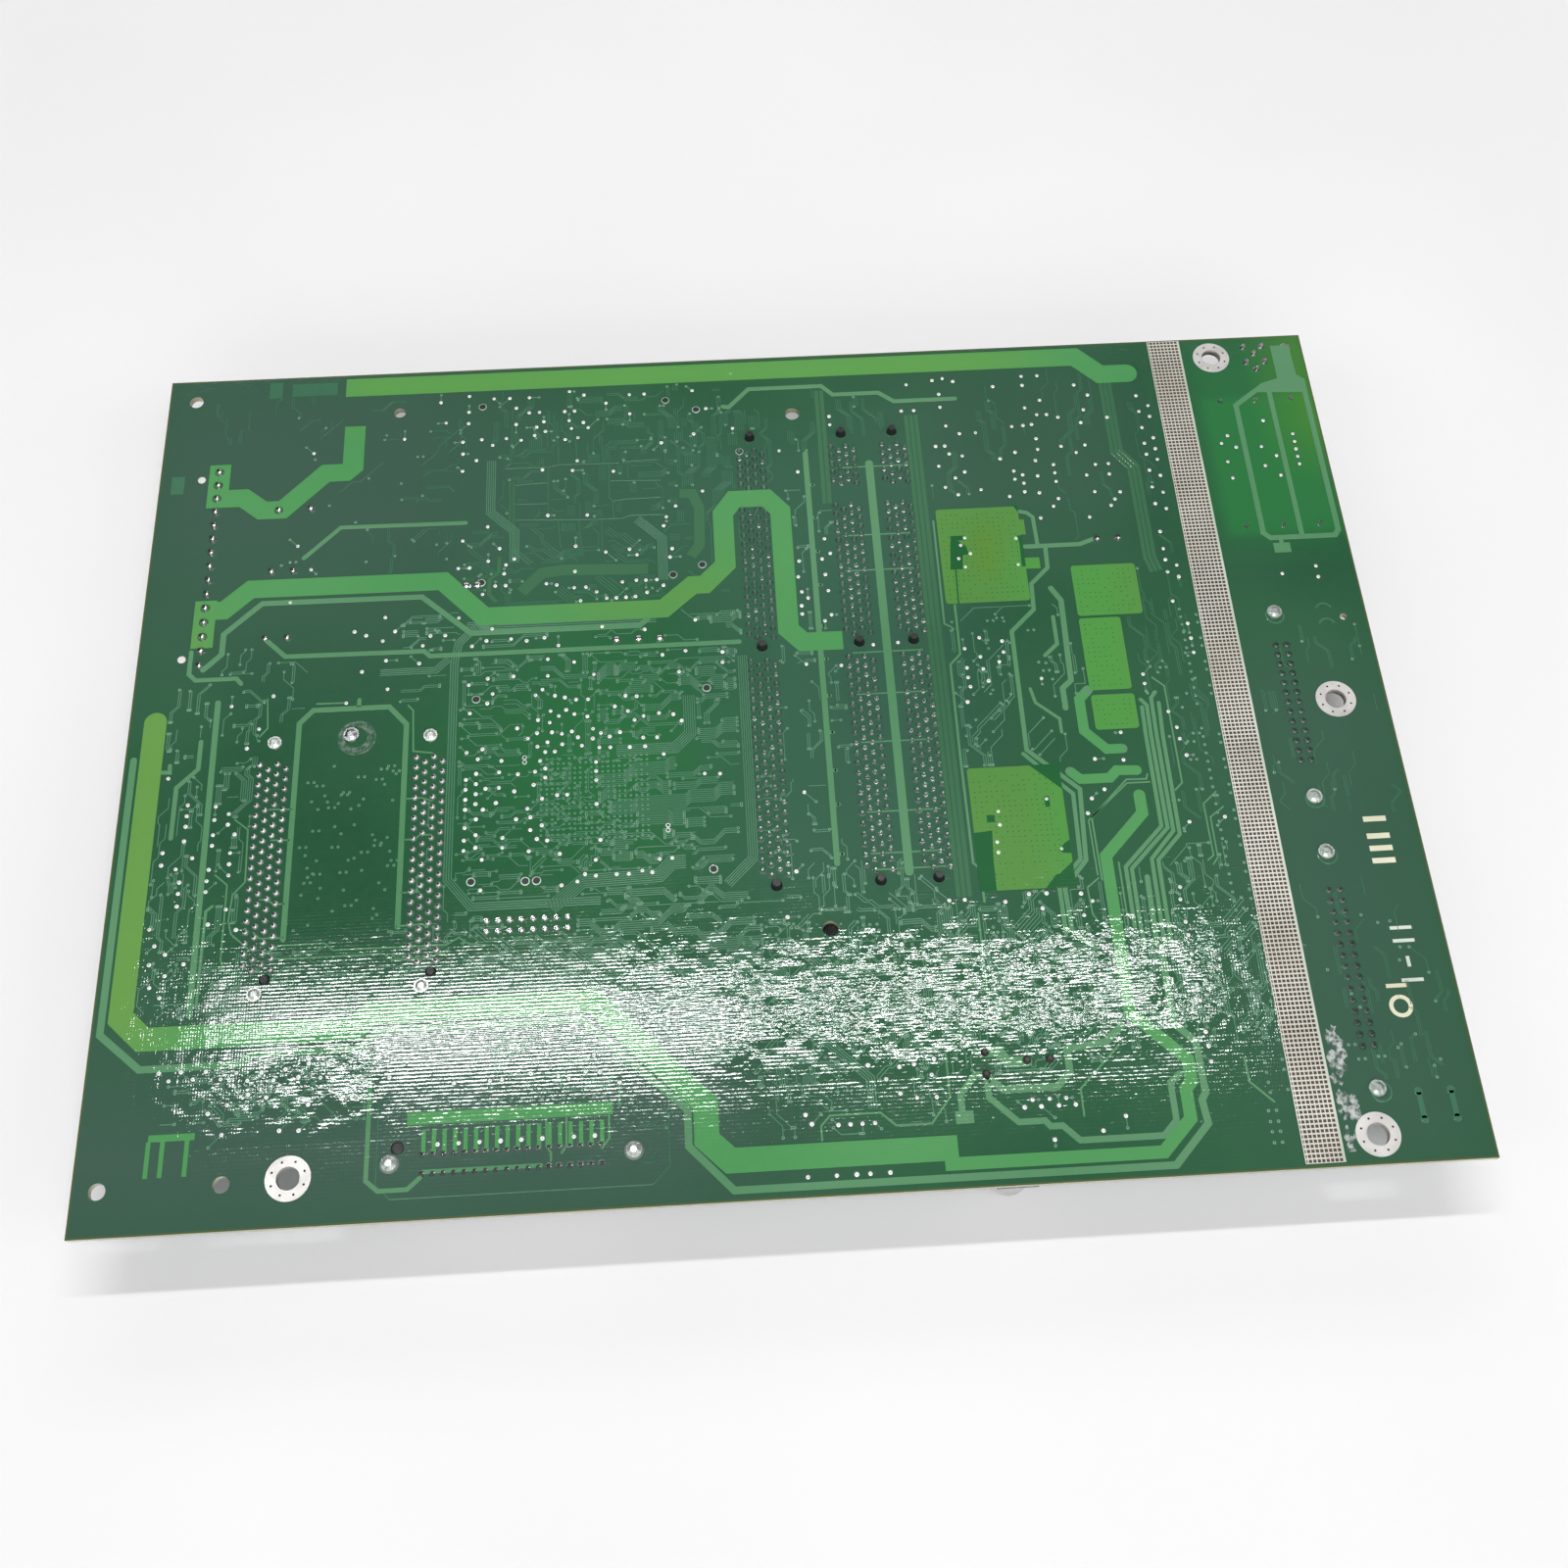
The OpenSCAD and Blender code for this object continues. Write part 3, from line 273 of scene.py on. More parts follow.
TIN = plain("bare_tin", (0.62, 0.60, 0.58), (0.80, 0.78, 0.75), 0.36, 0.45, 2400.0, 0.00003)
LOCK_TIN = plain("lock_tin", (0.42, 0.48, 0.44), (0.74, 0.78, 0.74), 0.3, 0.6, 900.0, 0.00005)
SOLDER = plain("soldered_tin", (0.66, 0.67, 0.67), (0.86, 0.87, 0.86), 0.2, 1.0, 1800.0, 0.00003)
DULL_SOLDER = plain("dull_solder", (0.16, 0.27, 0.21), (0.30, 0.42, 0.35), 0.22, 0.55, 1800.0, 0.00003)
VIA_TIN = plain("via_tin", (0.80, 0.86, 0.81), (0.95, 0.98, 0.94), 0.4, 0.35, 2600.0, 0.00002)
VIA_CORE = plain("via_core", (0.20, 0.42, 0.30), (0.34, 0.58, 0.44), 0.35, 0.0, 2600.0, 0.00001)
# Near black standing in for the shade inside holes, wells and the mouths of joints: painted shade
WELL_SHADE = plain("painted_well_shade", (0.004, 0.008, 0.006), (0.012, 0.02, 0.016), 0.5, 0.0, 1500.0, 0.00001)
BLACK = plain("black_moulding", (0.010, 0.011, 0.012), (0.022, 0.023, 0.025), 0.42)
LATCH = plain("latch_moulding", (0.016, 0.016, 0.017), (0.035, 0.035, 0.036), 0.35)
IVORY = plain("ivory_moulding", (0.76, 0.75, 0.70), (0.86, 0.85, 0.80), 0.4)
GILT = plain("gilt_spring", (0.72, 0.50, 0.18), (0.85, 0.63, 0.28), 0.25, 1.0)
STEEL = plain("plated_steel", (0.52, 0.53, 0.54), (0.66, 0.67, 0.68), 0.3, 1.0)
CASE = plain("moulded_case", (0.014, 0.015, 0.018), (0.03, 0.031, 0.034), 0.5)
SLEEVE = plain("shrunk_sleeve", (0.008, 0.012, 0.03), (0.015, 0.022, 0.045), 0.22)
DRAWN = plain("drawn_can", (0.60, 0.60, 0.60), (0.72, 0.72, 0.71), 0.3, 1.0)
RESIN = plain("chip_resin", (0.012, 0.012, 0.014), (0.026, 0.026, 0.028), 0.6)
SPREADER = plain("lid_resin", (0.03, 0.032, 0.034), (0.06, 0.062, 0.064), 0.45)
FERRITE = plain("ferrite", (0.035, 0.032, 0.03), (0.075, 0.068, 0.06), 0.55)
COAT = plain("dipped_coat", (0.20, 0.09, 0.03), (0.30, 0.15, 0.06), 0.25)
CERAMIC = plain("fired_ceramic", (0.34, 0.22, 0.12), (0.48, 0.34, 0.20), 0.5)
INK = plain("cream_ink", (0.72, 0.70, 0.50), (0.86, 0.85, 0.66), 0.55)
INK_PALE = plain("pale_ink", (0.60, 0.66, 0.58), (0.74, 0.80, 0.72), 0.55)

SLOT_FINISH = {
    "solder_mask": MASK, "bare_tin": TIN, "black_plastic": BLACK, "latch_plastic": LATCH,
    "ivory_plastic": IVORY, "gilt_contact": GILT, "solder": SOLDER, "plated_steel": STEEL,
    "potting_case": CASE, "can_sleeve": SLEEVE, "can_metal": DRAWN, "chip_resin": RESIN,
    "heat_spreader": SPREADER, "ferrite": FERRITE, "filter_coat": COAT, "ceramic": CERAMIC,
    "mask_over_copper": MASK_TRACK,
}
for part in frame["record"]["subparts"]:
    finish = SLOT_FINISH[part["material_slot"]]
    if part["node"] == "copper_patches":
        finish = MASK_PATCH
    for holder in nodes[part["node"]].material_slots:
        holder.material = finish


# ---- Pieces ----

def circle(x, y, radius, z, sides):
    """The points of a level circle about a layout place."""
    return [row(x + radius * math.cos(math.tau * k / sides),
                y + radius * math.sin(math.tau * k / sides), z) for k in range(sides)]


class Piece:
    """Gathers faces for one named mesh on the solder face."""

    def __init__(self, name):
        self.name = name
        self.points = []
        self.faces = []

    def ring(self, points):
        start = len(self.points)
        self.points.extend(points)
        return list(range(start, start + len(points)))

    def bridge(self, a, b, closed):
        count = len(a)
        for i in range(count if closed else count - 1):
            j = (i + 1) % count
            self.faces.append((a[i], a[j], b[j], b[i]))

    def disc(self, x, y, profile, sides=10):
        """A turned shape: profile is (radius, height above the face) from the outside in."""
        rings = [self.ring(circle(x, y, radius, TOP + height, sides)) for radius, height in profile]
        for a, b in zip(rings, rings[1:]):
            self.bridge(a, b, True)
        if profile[-1][0] > 0:
            self.faces.append(tuple(rings[-1]))

    def annulus(self, x, y, outer, inner, rise, sides=12):
        """A flat ring with a hole in the middle."""
        profile = ((outer, 0.0), (outer - min(0.1, outer / 4), rise), (inner, rise))
        rings = [self.ring(circle(x, y, radius, TOP + height, sides)) for radius, height in profile]
        for a, b in zip(rings, rings[1:]):
            self.bridge(a, b, True)

    def track(self, path, width, rise=TRACK_RISE, base=0.0):
        """A conductor with sloping sides along a path, with mitred corners."""
        slope = min(0.05, width / 5)
        lines = []
        for off, height in ((width / 2, base), (width / 2 - slope, rise), (slope - width / 2, rise),
                            (-width / 2, base)):
            lines.append([row(x, y, TOP + height) for x, y in beside(path, off)])
        rows = [self.ring(points) for points in zip(*lines)]
        for a, b in zip(rows, rows[1:]):
            self.bridge(a, b, False)
        self.faces.append(tuple(reversed(rows[0])))
        self.faces.append(tuple(rows[-1]))

    def plate(self, corners, rise=TRACK_RISE, base=0.0):
        """A flat area with upright sides; its corners run anticlockwise."""
        low = self.ring([row(x, y, TOP + base) for x, y in corners])
        high = self.ring([row(x, y, TOP + rise) for x, y in corners])
        self.bridge(low, high, True)
        self.faces.append(tuple(high))

    def box(self, x0, y0, x1, y1, rise=TRACK_RISE, base=0.0):
        self.plate([(x0, y0), (x1, y0), (x1, y1), (x0, y1)], rise, base)

    def make(self, finish, slot, smooth=False):
        mesh = bpy.data.meshes.new(self.name)
        mesh.from_pydata(self.points, [], self.faces)
        mesh.materials.append(finish)
        mesh.polygons.foreach_set("use_smooth", [smooth] * len(mesh.polygons))
        mesh.update()
        made = bpy.data.objects.new(self.name, mesh)
        bpy.context.scene.collection.objects.link(made)
        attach(made, BODY)
        return made


def beside(path, off):
    """The line that runs beside a path at a distance, with mitred corners."""
    normals = []
    for (ax, ay), (bx, by) in zip(path, path[1:]):
        length = math.hypot(bx - ax, by - ay)
        normals.append(((ay - by) / length, (bx - ax) / length))
    found = []
    for i, (x, y) in enumerate(path):
        (ax, ay), (bx, by) = normals[max(i - 1, 0)], normals[min(i, len(normals) - 1)]
        scale = off / (1 + ax * bx + ay * by)
        found.append((x + (ax + bx) * scale, y + (ay + by) * scale))
    return found


# ---- What is taken on the solder face, so that fine tracks keep clear of it ----

class Face:
    """A coarse grid over the solder face that says which cells are taken."""

    STEP = 0.5
    TURNS = ((1, 0), (1, 1), (0, 1), (-1, 1), (-1, 0), (-1, -1), (0, -1), (1, -1))

    def __init__(self):
        self.columns = int(BOARD_W / self.STEP) + 2
        self.rows = int(BOARD_D / self.STEP) + 2
        self.full = bytearray(self.columns * self.rows)

    def free(self, i, j):
        inside = 2 < i < self.columns - 4 and 2 < j < self.rows - 4
        return inside and not self.full[j * self.columns + i]

    def fill(self, i, j):
        if 0 <= i < self.columns and 0 <= j < self.rows:
            self.full[j * self.columns + i] = 1

    def take_disc(self, x, y, radius):
        reach = int(radius / self.STEP) + 1
        ci, cj = round(x / self.STEP), round(y / self.STEP)
        for i in range(ci - reach, ci + reach + 1):
            for j in range(cj - reach, cj + reach + 1):
                if math.hypot(i * self.STEP - x, j * self.STEP - y) <= radius:
                    self.fill(i, j)

    def take_box(self, x0, y0, x1, y1):
        for i in range(math.floor(x0 / self.STEP), math.ceil(x1 / self.STEP) + 1):
            for j in range(math.floor(y0 / self.STEP), math.ceil(y1 / self.STEP) + 1):
                self.fill(i, j)

    def take_path(self, path, width):
        for (ax, ay), (bx, by) in zip(path, path[1:]):
            length = math.hypot(bx - ax, by - ay)
            steps = max(1, int(length / (self.STEP * 0.6)))
            for k in range(steps + 1):
                t = k / steps
                self.take_disc(ax + (bx - ax) * t, ay + (by - ay) * t, width / 2 + 0.3)

    def lead(self, rng, start, heading, steps, zone):
        """The cells of a track that wanders off from a start, mostly along its heading."""
        i, j = start
        cells = [(i, j)]
        turn = heading
        hold = rng.randint(3, 12)
        for _ in range(steps):
            if hold <= 0:
                turn = heading if turn != heading else (heading + rng.choice((-1, 1))) % 8
                hold = rng.randint(2, 6) if turn != heading else rng.randint(5, 22)
            for trial in (turn, heading, (heading + 1) % 8, (heading - 1) % 8):
                di, dj = self.TURNS[trial]
                clear = self.free(i + di, j + dj)
                if di and dj:
                    clear = clear and self.free(i + di, j) and self.free(i, j + dj)
                if clear and self.within(i + di, j + dj, zone):
                    turn = trial
                    break
            else:
                break
            i, j = i + di, j + dj
            hold -= 1
            cells.append((i, j))
        return cells

    def within(self, i, j, zone):
        x, y = i * self.STEP, j * self.STEP
        return zone[0] <= x <= zone[2] and zone[1] <= y <= zone[3]

    def follow(self, cells, shift, zone):
        """A leader's cells moved aside, as far as they are free."""
        kept = []
        for i, j in cells:
            i, j = i + shift[0], j + shift[1]
            if not (self.free(i, j) and self.within(i, j, zone)):
                if kept:
                    break
                continue
            kept.append((i, j))
        return kept

    def corners(self, cells):
        points = [cells[0]]
        for before, here, after in zip(cells, cells[1:], cells[2:]):
            if (here[0] - before[0], here[1] - before[1]) != (after[0] - here[0], after[1] - here[1]):
                points.append(here)
        points.append(cells[-1])
        return [(i * self.STEP, j * self.STEP) for i, j in points]


face = Face()

# ---- The layout: widths and places in millimetres, as read from the photo ----

# The wide tracks are CAD pieces; this copy only keeps the fine tracks off them.
POWER_TRACKS = [
    (5.6, [(44.5, 212.4), (232.2, 212.4), (238.2, 206.4), (245, 206.4)]),
    (5.2, [(47.5, 200), (47.5, 187.5), (46, 185.9), (41, 185.9), (31, 175.5), (26, 175.5), (21.1, 179.5),
        (12, 179.5)]),
    (5.2, [(14.6, 189.8), (14.6, 176.9)]), (5.2, [(14.6, 150), (14.6, 136.9)]),
    (5.0, [(12, 147.1), (19, 147.1), (25, 152.7), (71, 152.5), (81, 142), (124, 141.9), (131, 148.1),
        (134, 148.1), (139.2, 153.5), (139.2, 168.4), (142.1, 172.5), (150, 172.5), (153.3, 168.5),
        (153.3, 134.5), (156.7, 130.8), (166.1, 130.8)]),
    (5.2, [(5.9, 117.5), (5.9, 46.5), (11, 41.5), (56, 41.5), (59, 44.8), (106, 44.8), (129.3, 21),
        (129.3, 13.5), (134, 8.9), (181, 8.9)]),
    (2.7, [(178, 5.6), (223.2, 5.6), (229.8, 12.2), (229.8, 18.5), (231.2, 20), (231.2, 24.8),
        (220.6, 35.5), (220.6, 72), (230.3, 82), (230.3, 86.5)]),
]
PATCH_BOXES = [(191.5, 139.4, 211.9, 166.6), (222.7, 134.3, 238.4, 148.5), (222.7, 114, 232.7, 133.6),
               (222.7, 103.6, 232.9, 112.7), (191.7, 65.1, 212.9, 95.3)]
# What else fine tracks keep clear of: the contact strip, two combs of tracks and a pad
TAKEN_BOXES = [(251.8, 1.5, 260.4, 215.4), (12, 9.5, 25, 21.5), (66, 5, 112, 25), (180.5, 13.3, 185.3, 17)]

# Tracks that the photo shows one by one: width and path
NARROW_TRACKS = [
    (1.6, [(1.9, 108), (1.9, 43), (11, 35), (32, 35), (34.5, 37), (57, 37), (60.5, 40.7), (103.5, 40.9),
        (125.5, 20), (125.5, 12.3), (134.5, 2.8), (225.25, 2.8), (233.25, 11), (232.75, 16), (233.75, 17.5),
        (233.5, 28.5), (229.5, 32.75), (229.4, 49)]),
    (1.4, [(15.5, 131), (19.5, 135), (19.5, 140.5), (28, 148.6), (66, 148.4), (78, 137.6), (118, 137.6),
        (120, 139.2)]),
    (1.2, [(30, 138), (34.5, 133.6), (67, 133.3), (68.5, 131.9), (141.5, 131.8)]),
    (1.3, [(39, 62.5), (39, 115.5), (42, 118.8), (59.5, 118.8), (63.7, 114), (63.7, 64)]),
    (1.0, [(52.5, 121), (52.5, 118.8)]), (1.1, [(16.8, 112), (16.8, 105), (12.3, 100.5), (12.3, 88)]),
    (1.1, [(12.3, 136), (12.3, 130), (14, 128.3), (23.5, 128.3), (24.7, 126.8)]),
    (1.1, [(37, 161), (45.5, 169.5), (76, 169.2)]),
    (1.0, [(59.5, 30), (59.5, 9), (62, 6.8), (68, 6.8), (70.5, 9)]),
    (1.2, [(140.5, 201.3), (142, 201), (147.3, 206.5), (166, 206.5), (168.75, 203.6), (180.5, 203.6),
        (184.25, 200.65), (200, 200.65)]),
    (1.4, [(160.6, 185.5), (160.6, 133.6)]), (1.4, [(160.6, 128), (160.6, 73.6)]),
    (2.0, [(176.4, 181.6), (176.4, 70.7)]),
    (0.6, [(193.6, 139), (193.5, 125.5), (190.9, 122.75), (190.7, 99), (190.8, 72), (192.2, 70.6),
        (192.3, 62.7)]),
    (1.0, [(212.2, 165.1), (214, 164.7), (215.4, 163.3), (215.6, 155)]),
    (1.2, [(212.4, 154.75), (226, 154.75), (229.3, 156)]),
    (1.1, [(217.4, 154.3), (217.2, 148.4), (212.7, 144), (212.4, 136.8), (206.4, 131), (206.1, 99.4),
        (217, 88.8), (216, 71.3), (210.4, 64.9), (210.7, 54.8), (215.2, 50.5)]),
    (1.0, [(205.2, 98.4), (215.3, 87.7), (214.8, 71.6), (209.2, 65.7), (209.3, 54.3)]),
    (0.95, [(234.3, 109), (234.1, 101.7), (234.1, 78.6), (224.6, 69.2), (224.5, 55)]),
    (0.95, [(234.3, 111), (235.5, 109.4), (235.3, 101.3), (235.4, 78.1), (225.9, 68.7), (225.8, 54.5),
        (226.1, 50.5)]),
    (0.95, [(238, 112.8), (236.8, 111.3), (236.6, 101.2), (236.6, 77.3), (230.7, 70.8), (230.4, 50.4)]),
    (0.95, [(238.4, 109.9), (238, 101), (237.9, 76.4), (232.1, 70.4), (231.9, 50.4)]),
    (1.25, [(229, 66.5), (228.7, 50.5)]), (0.45, [(223.2, 70.3), (223.2, 55.7)]),
    (0.45, [(232.9, 91.7), (232.5, 90.5), (227.9, 90.6), (218.7, 81.5), (218.9, 66.4)]),
    (0.4, [(233.1, 89.7), (227.9, 89.7), (217.9, 80.9), (218.1, 67.6)]),
    (0.4, [(218.2, 66.9), (215.4, 64.7), (215.7, 58.5), (216.7, 56.7)]),
    (1.4, [(217.25, 142.5), (219.25, 139), (218.75, 117), (216.5, 115), (216.5, 109.75)]),
    (1.0, [(216.75, 134.5), (216.75, 127), (213.5, 124)]),
    (0.8, [(208.9, 115.25), (209.7, 111.5), (214.75, 107), (214.75, 103.5)]),
    (2.4, [(222.3, 114.2), (220, 111.8), (220, 103.5), (224.6, 98.5), (228.2, 98.5)]),
    (2.4, [(215.4, 93.3), (217.5, 91.2), (224.2, 91.2), (226.1, 93), (230.6, 92.8)]),
    (2.3, [(188.25, 28.75), (191.5, 28.75), (193.25, 26.25), (197.25, 26.25)]),
    (1.4, [(182.5, 16), (182.5, 20), (186, 24), (188.4, 23.8)]),
    (1.6, [(188.5, 23.5), (191.5, 20.5), (203, 20.5), (206, 23.5), (206, 28.5), (214.5, 29.5),
        (218.4, 33)]),
    (1.4, [(188.4, 23), (188.4, 19), (194, 13.5), (199.5, 13.5), (200.5, 12.25), (203, 12.25), (206.25, 9),
        (223.75, 9), (226.75, 12), (226.75, 20), (229, 21.8)]),
    (0.45, [(217, 28.6), (207.75, 19.75), (207.75, 14)]),
    (0.45, [(153, 12), (153, 15), (155, 17.1), (165.5, 17.1), (168.5, 14.25), (176, 14.25), (180.25, 19.5),
        (180.25, 29), (186.5, 35.25), (194, 35.25), (195.25, 36.75)]),
    (0.5, [(243.15, 24.35), (243.35, 19.25), (247.75, 14.75)]),
    (0.45, [(237.9, 116.7), (240.4, 114.3), (240.5, 89.1), (238.6, 87.3)]),
    (0.4, [(247.8, 86.4), (244.5, 83.6), (244.6, 70.9), (243.2, 69.8)]),
    (0.4, [(248.8, 82.6), (245.5, 80.2), (245.5, 70.3), (244.2, 68.7)]),
    (1.4, [(279.4, 200.4), (271.6, 194.6), (271.5, 155.5), (273, 154), (289, 154), (290.1, 155.5),
        (290.1, 199)]),
    (1.3, [(280.9, 198.8), (280.9, 154.2)]), (0.5, [(190.8, 163.4), (190.6, 134), (192.2, 133)]),
    (0.5, [(190.6, 60), (190.6, 38)]), (0.4, [(33.7, 93.9), (38.9, 93.7)]),
    (0.4, [(34.6, 86.3), (38.9, 86.1)]), (0.4, [(33.2, 72.1), (35, 72), (36.3, 70.8), (38.9, 70.8)]),
    (0.4, [(32.4, 64.5), (33.9, 63), (39, 62.9)]), (0.4, [(64, 94.9), (68.1, 94.9), (70.2, 94)]),
    (0.4, [(64, 84.8), (66.7, 84.7), (67.7, 85.7), (70.3, 85.7)]), (0.4, [(64, 72), (68.1, 72)]),
    (0.4, [(63.5, 64.2), (69.2, 64.3), (70.3, 63.5)]),
    (0.4, [(26.2, 91.8), (29.3, 89.2), (29.7, 76.5), (27.2, 73.6), (26.8, 67.4), (27.6, 64.4), (32, 60.3)]),
    (0.4, [(23, 78.5), (25.8, 76), (25.9, 58.5), (26.8, 56.2), (29.7, 54.2)]),
    (0.4, [(35.3, 59.4), (38.3, 61.1), (48.1, 61.1), (50, 59.4), (74.3, 59.2), (77.1, 60.8), (79.3, 59.2),
        (83.5, 58.7)]),
    (0.4, [(36.4, 58.2), (40.9, 58), (61, 58), (62.8, 56.5), (70.9, 56.5), (75, 58.2)]),
    (0.4, [(31.2, 122.4), (31.8, 114.7), (30.1, 112.6)]), (0.4, [(42.7, 120.5), (49.1, 120.4)]),
    (0.45, [(63.9, 118.9), (65.1, 117.5), (65.5, 106.9), (69.9, 106.2)]),
    (0.5, [(96.2, 20.2), (96.3, 14), (97.2, 12.7), (97.2, 11)]),
    (0.5, [(100.4, 20.2), (100.4, 14), (99.4, 12.5)]), (0.5, [(109.2, 20), (109.2, 15), (107.7, 13)]),
    (0.45, [(111.5, 26.2), (111.4, 21.5)]), (0.9, [(71.2, 10.2), (95.2, 10.2)]),
    (0.7, [(21.6, 48), (21.7, 70), (23, 71.1)]), (1.0, [(8.2, 104.6), (10.4, 104.5), (10.3, 106.2)]),
    (1.4, [(19.8, 122), (20.3, 46.3)]),
]
LIT_TRACKS = [
    (1.0, [(14.6, 19.5), (14.6, 12)]), (1.0, [(17.5, 19.5), (17.5, 12)]), (1.0, [(22.5, 19.5), (22.5, 12)]),
    (1.5, [(14.5, 20.2), (24, 20.2)]), (2.7, [(67.5, 21.3), (110, 21.3)]),
]
# Bundles of parallel lines: how many, pitch, width and middle line
BUSES = [
    (4, 0.55, 0.32, [(84, 139.7), (79.3, 139.4), (75.2, 135), (74.3, 130), (74.2, 74.5), (79.5, 67.8),
        (108, 67.8)]),
    (4, 0.55, 0.28, [(148, 40), (164, 24.5), (164, 18)]),
    (4, 0.6, 0.28, [(146, 55), (150, 55), (157, 48), (170, 48)]),
    (6, 0.5, 0.25, [(129, 118), (129, 108), (125.5, 104.5), (112, 104.5)]),
    (7, 0.5, 0.25, [(97, 66.5), (104, 72.5), (121, 73), (124, 76), (127, 76)]),
    (5, 0.5, 0.25, [(136, 70), (142, 76), (142, 128)]),
    (5, 0.5, 0.25, [(77, 139.5), (100, 139.4), (122, 139.4)]),
    (4, 0.5, 0.25, [(57, 128), (70, 128), (73, 131)]),
    (5, 0.5, 0.25, [(82, 187.5), (82, 172), (88, 166), (88, 157)]),
    (5, 0.5, 0.25, [(118, 168), (124, 162), (124, 150)]), (4, 0.5, 0.25, [(24, 46), (30, 52), (30, 60)]),
]
BANDS = [
    (3, 1.15, 0.95, [(239, 205), (239, 182), (242.5, 177), (242.5, 150), (243.5, 146)]),
    (3, 1.25, 1.0, [(188.2, 196), (188, 133), (188, 64)]), (2, 1.3, 1.05, [(165.3, 205), (165.1, 170)]),
]
# Straight faint tracks round a chip above the long power track, and its wider neighbours
CHIP_TRACKS = [
    (0.3, [(85.4, 185), (96.6, 184.9), (98.4, 185.5), (113.8, 185.2)]),
    (0.35, [(96.2, 184.9), (96.2, 170.1)]),
    (0.35, [(111.3, 184.9), (111.3, 174.7), (112.2, 173.8), (112.2, 168.7)]),
    (0.3, [(111.6, 179.9), (124.1, 179.4)]),
    (0.35, [(88.1, 169.4), (105.8, 168.6), (114.3, 168.5), (116.4, 169.3), (124.6, 169.1)]),
    (0.3, [(112.2, 173.8), (115.8, 174.2), (124, 174.3)]), (0.3, [(114.6, 185.5), (124, 185.8)]),
    (0.3, [(88, 179.8), (96.2, 180.2)]), (0.3, [(88.1, 174.1), (96.2, 173.9)]),
    (0.3, [(98.6, 168.8), (99.3, 160.5)]), (0.3, [(103.7, 168.5), (104.3, 161)]),
    (0.3, [(109.3, 168.4), (109.4, 159.1)]), (0.3, [(103.1, 193.2), (103.4, 185.3)]),
    (0.3, [(98.6, 193.5), (98.7, 185.5)]), (0.3, [(109.5, 193.8), (110, 185.3)]),
    (0.5, [(86.7, 180.8), (86.9, 161.4), (91.8, 156.1)]),
    (0.5, [(87.6, 180.8), (87.8, 161.4), (92.5, 156.6)]),
    (1.0, [(84.4, 158.8), (84.4, 154.7), (82.1, 152.3), (82.1, 148.2), (83.9, 145.9)]),
    (2.6, [(128.7, 175.1), (131.8, 174.9), (133.4, 170.5), (133.1, 159.6), (130.9, 156.4)]),
    (3.0, [(89.8, 148.4), (94.8, 153.6), (100.1, 154.2), (120.4, 153.4)]),
]
# Dark notches in the copper patches, and the copper that reaches past a patch's straight sides
NOTCHES = [
    [(194.5, 157.3), (196.2, 157.3), (197.6, 157.4), (197.6, 158.7), (194.5, 158.7)],
    [(193.6, 149), (196.6, 149), (197, 153), (198.5, 153.2), (198.1, 155.4), (196.2, 157.3),
        (194.4, 157.3)],
    [(211, 149), (212, 149), (212, 158), (210.9, 158), (211.2, 155.5)],
    [(194.4, 139.3), (194.75, 139.3), (195, 149), (194.65, 149)],
    [(210.9, 166.8), (212, 164.6), (212, 166.8)],
    [(191.6, 65), (195.3, 65), (195.4, 72.7), (195.9, 79.6), (194.2, 79.4), (191.6, 79.2)],
    [(206.1, 95.4), (213, 88.9), (213, 95.4)],
    [(206.2, 65), (213, 65), (213, 71.2), (209.7, 68.3), (208.9, 68.2)],
    [(210.2, 74), (211.1, 73.3), (213, 73.1), (213, 76.4), (211.8, 75.7)],
    [(208.6, 84.7), (209.7, 84.7), (209.7, 87.4), (208.6, 87.4)],
    [(195, 81.6), (196.8, 81.6), (196.8, 83.4), (195, 83.4)],
]
PATCH_EARS = [(211.7, 158.2, 213.1, 162.6), (211.7, 148.3, 215.5, 151.4)]
# Scattered small ringed holes: a box and how many are tried
SCATTER = [(41, 60, 62, 106, 75), (140, 28, 216, 60, 170), (68, 46, 140, 62, 60), (264, 20, 288, 60, 16),
           (30, 158, 72, 198, 16), (192, 98, 220, 136, 30), (236, 60, 246, 130, 24), (24, 26, 60, 37, 60)]
# How far back the nubs and rungs of the tracks between the memory sockets lie
NUB_ROWS = [175.8, 166, 156.1, 146.5, 135, 125.9, 116, 106.4, 96.6, 88, 75.8]
RUNG_ROWS = [180.65, 160.3, 150.1, 127.2, 116, 103.4, 85.7, 75.5, 71.6]

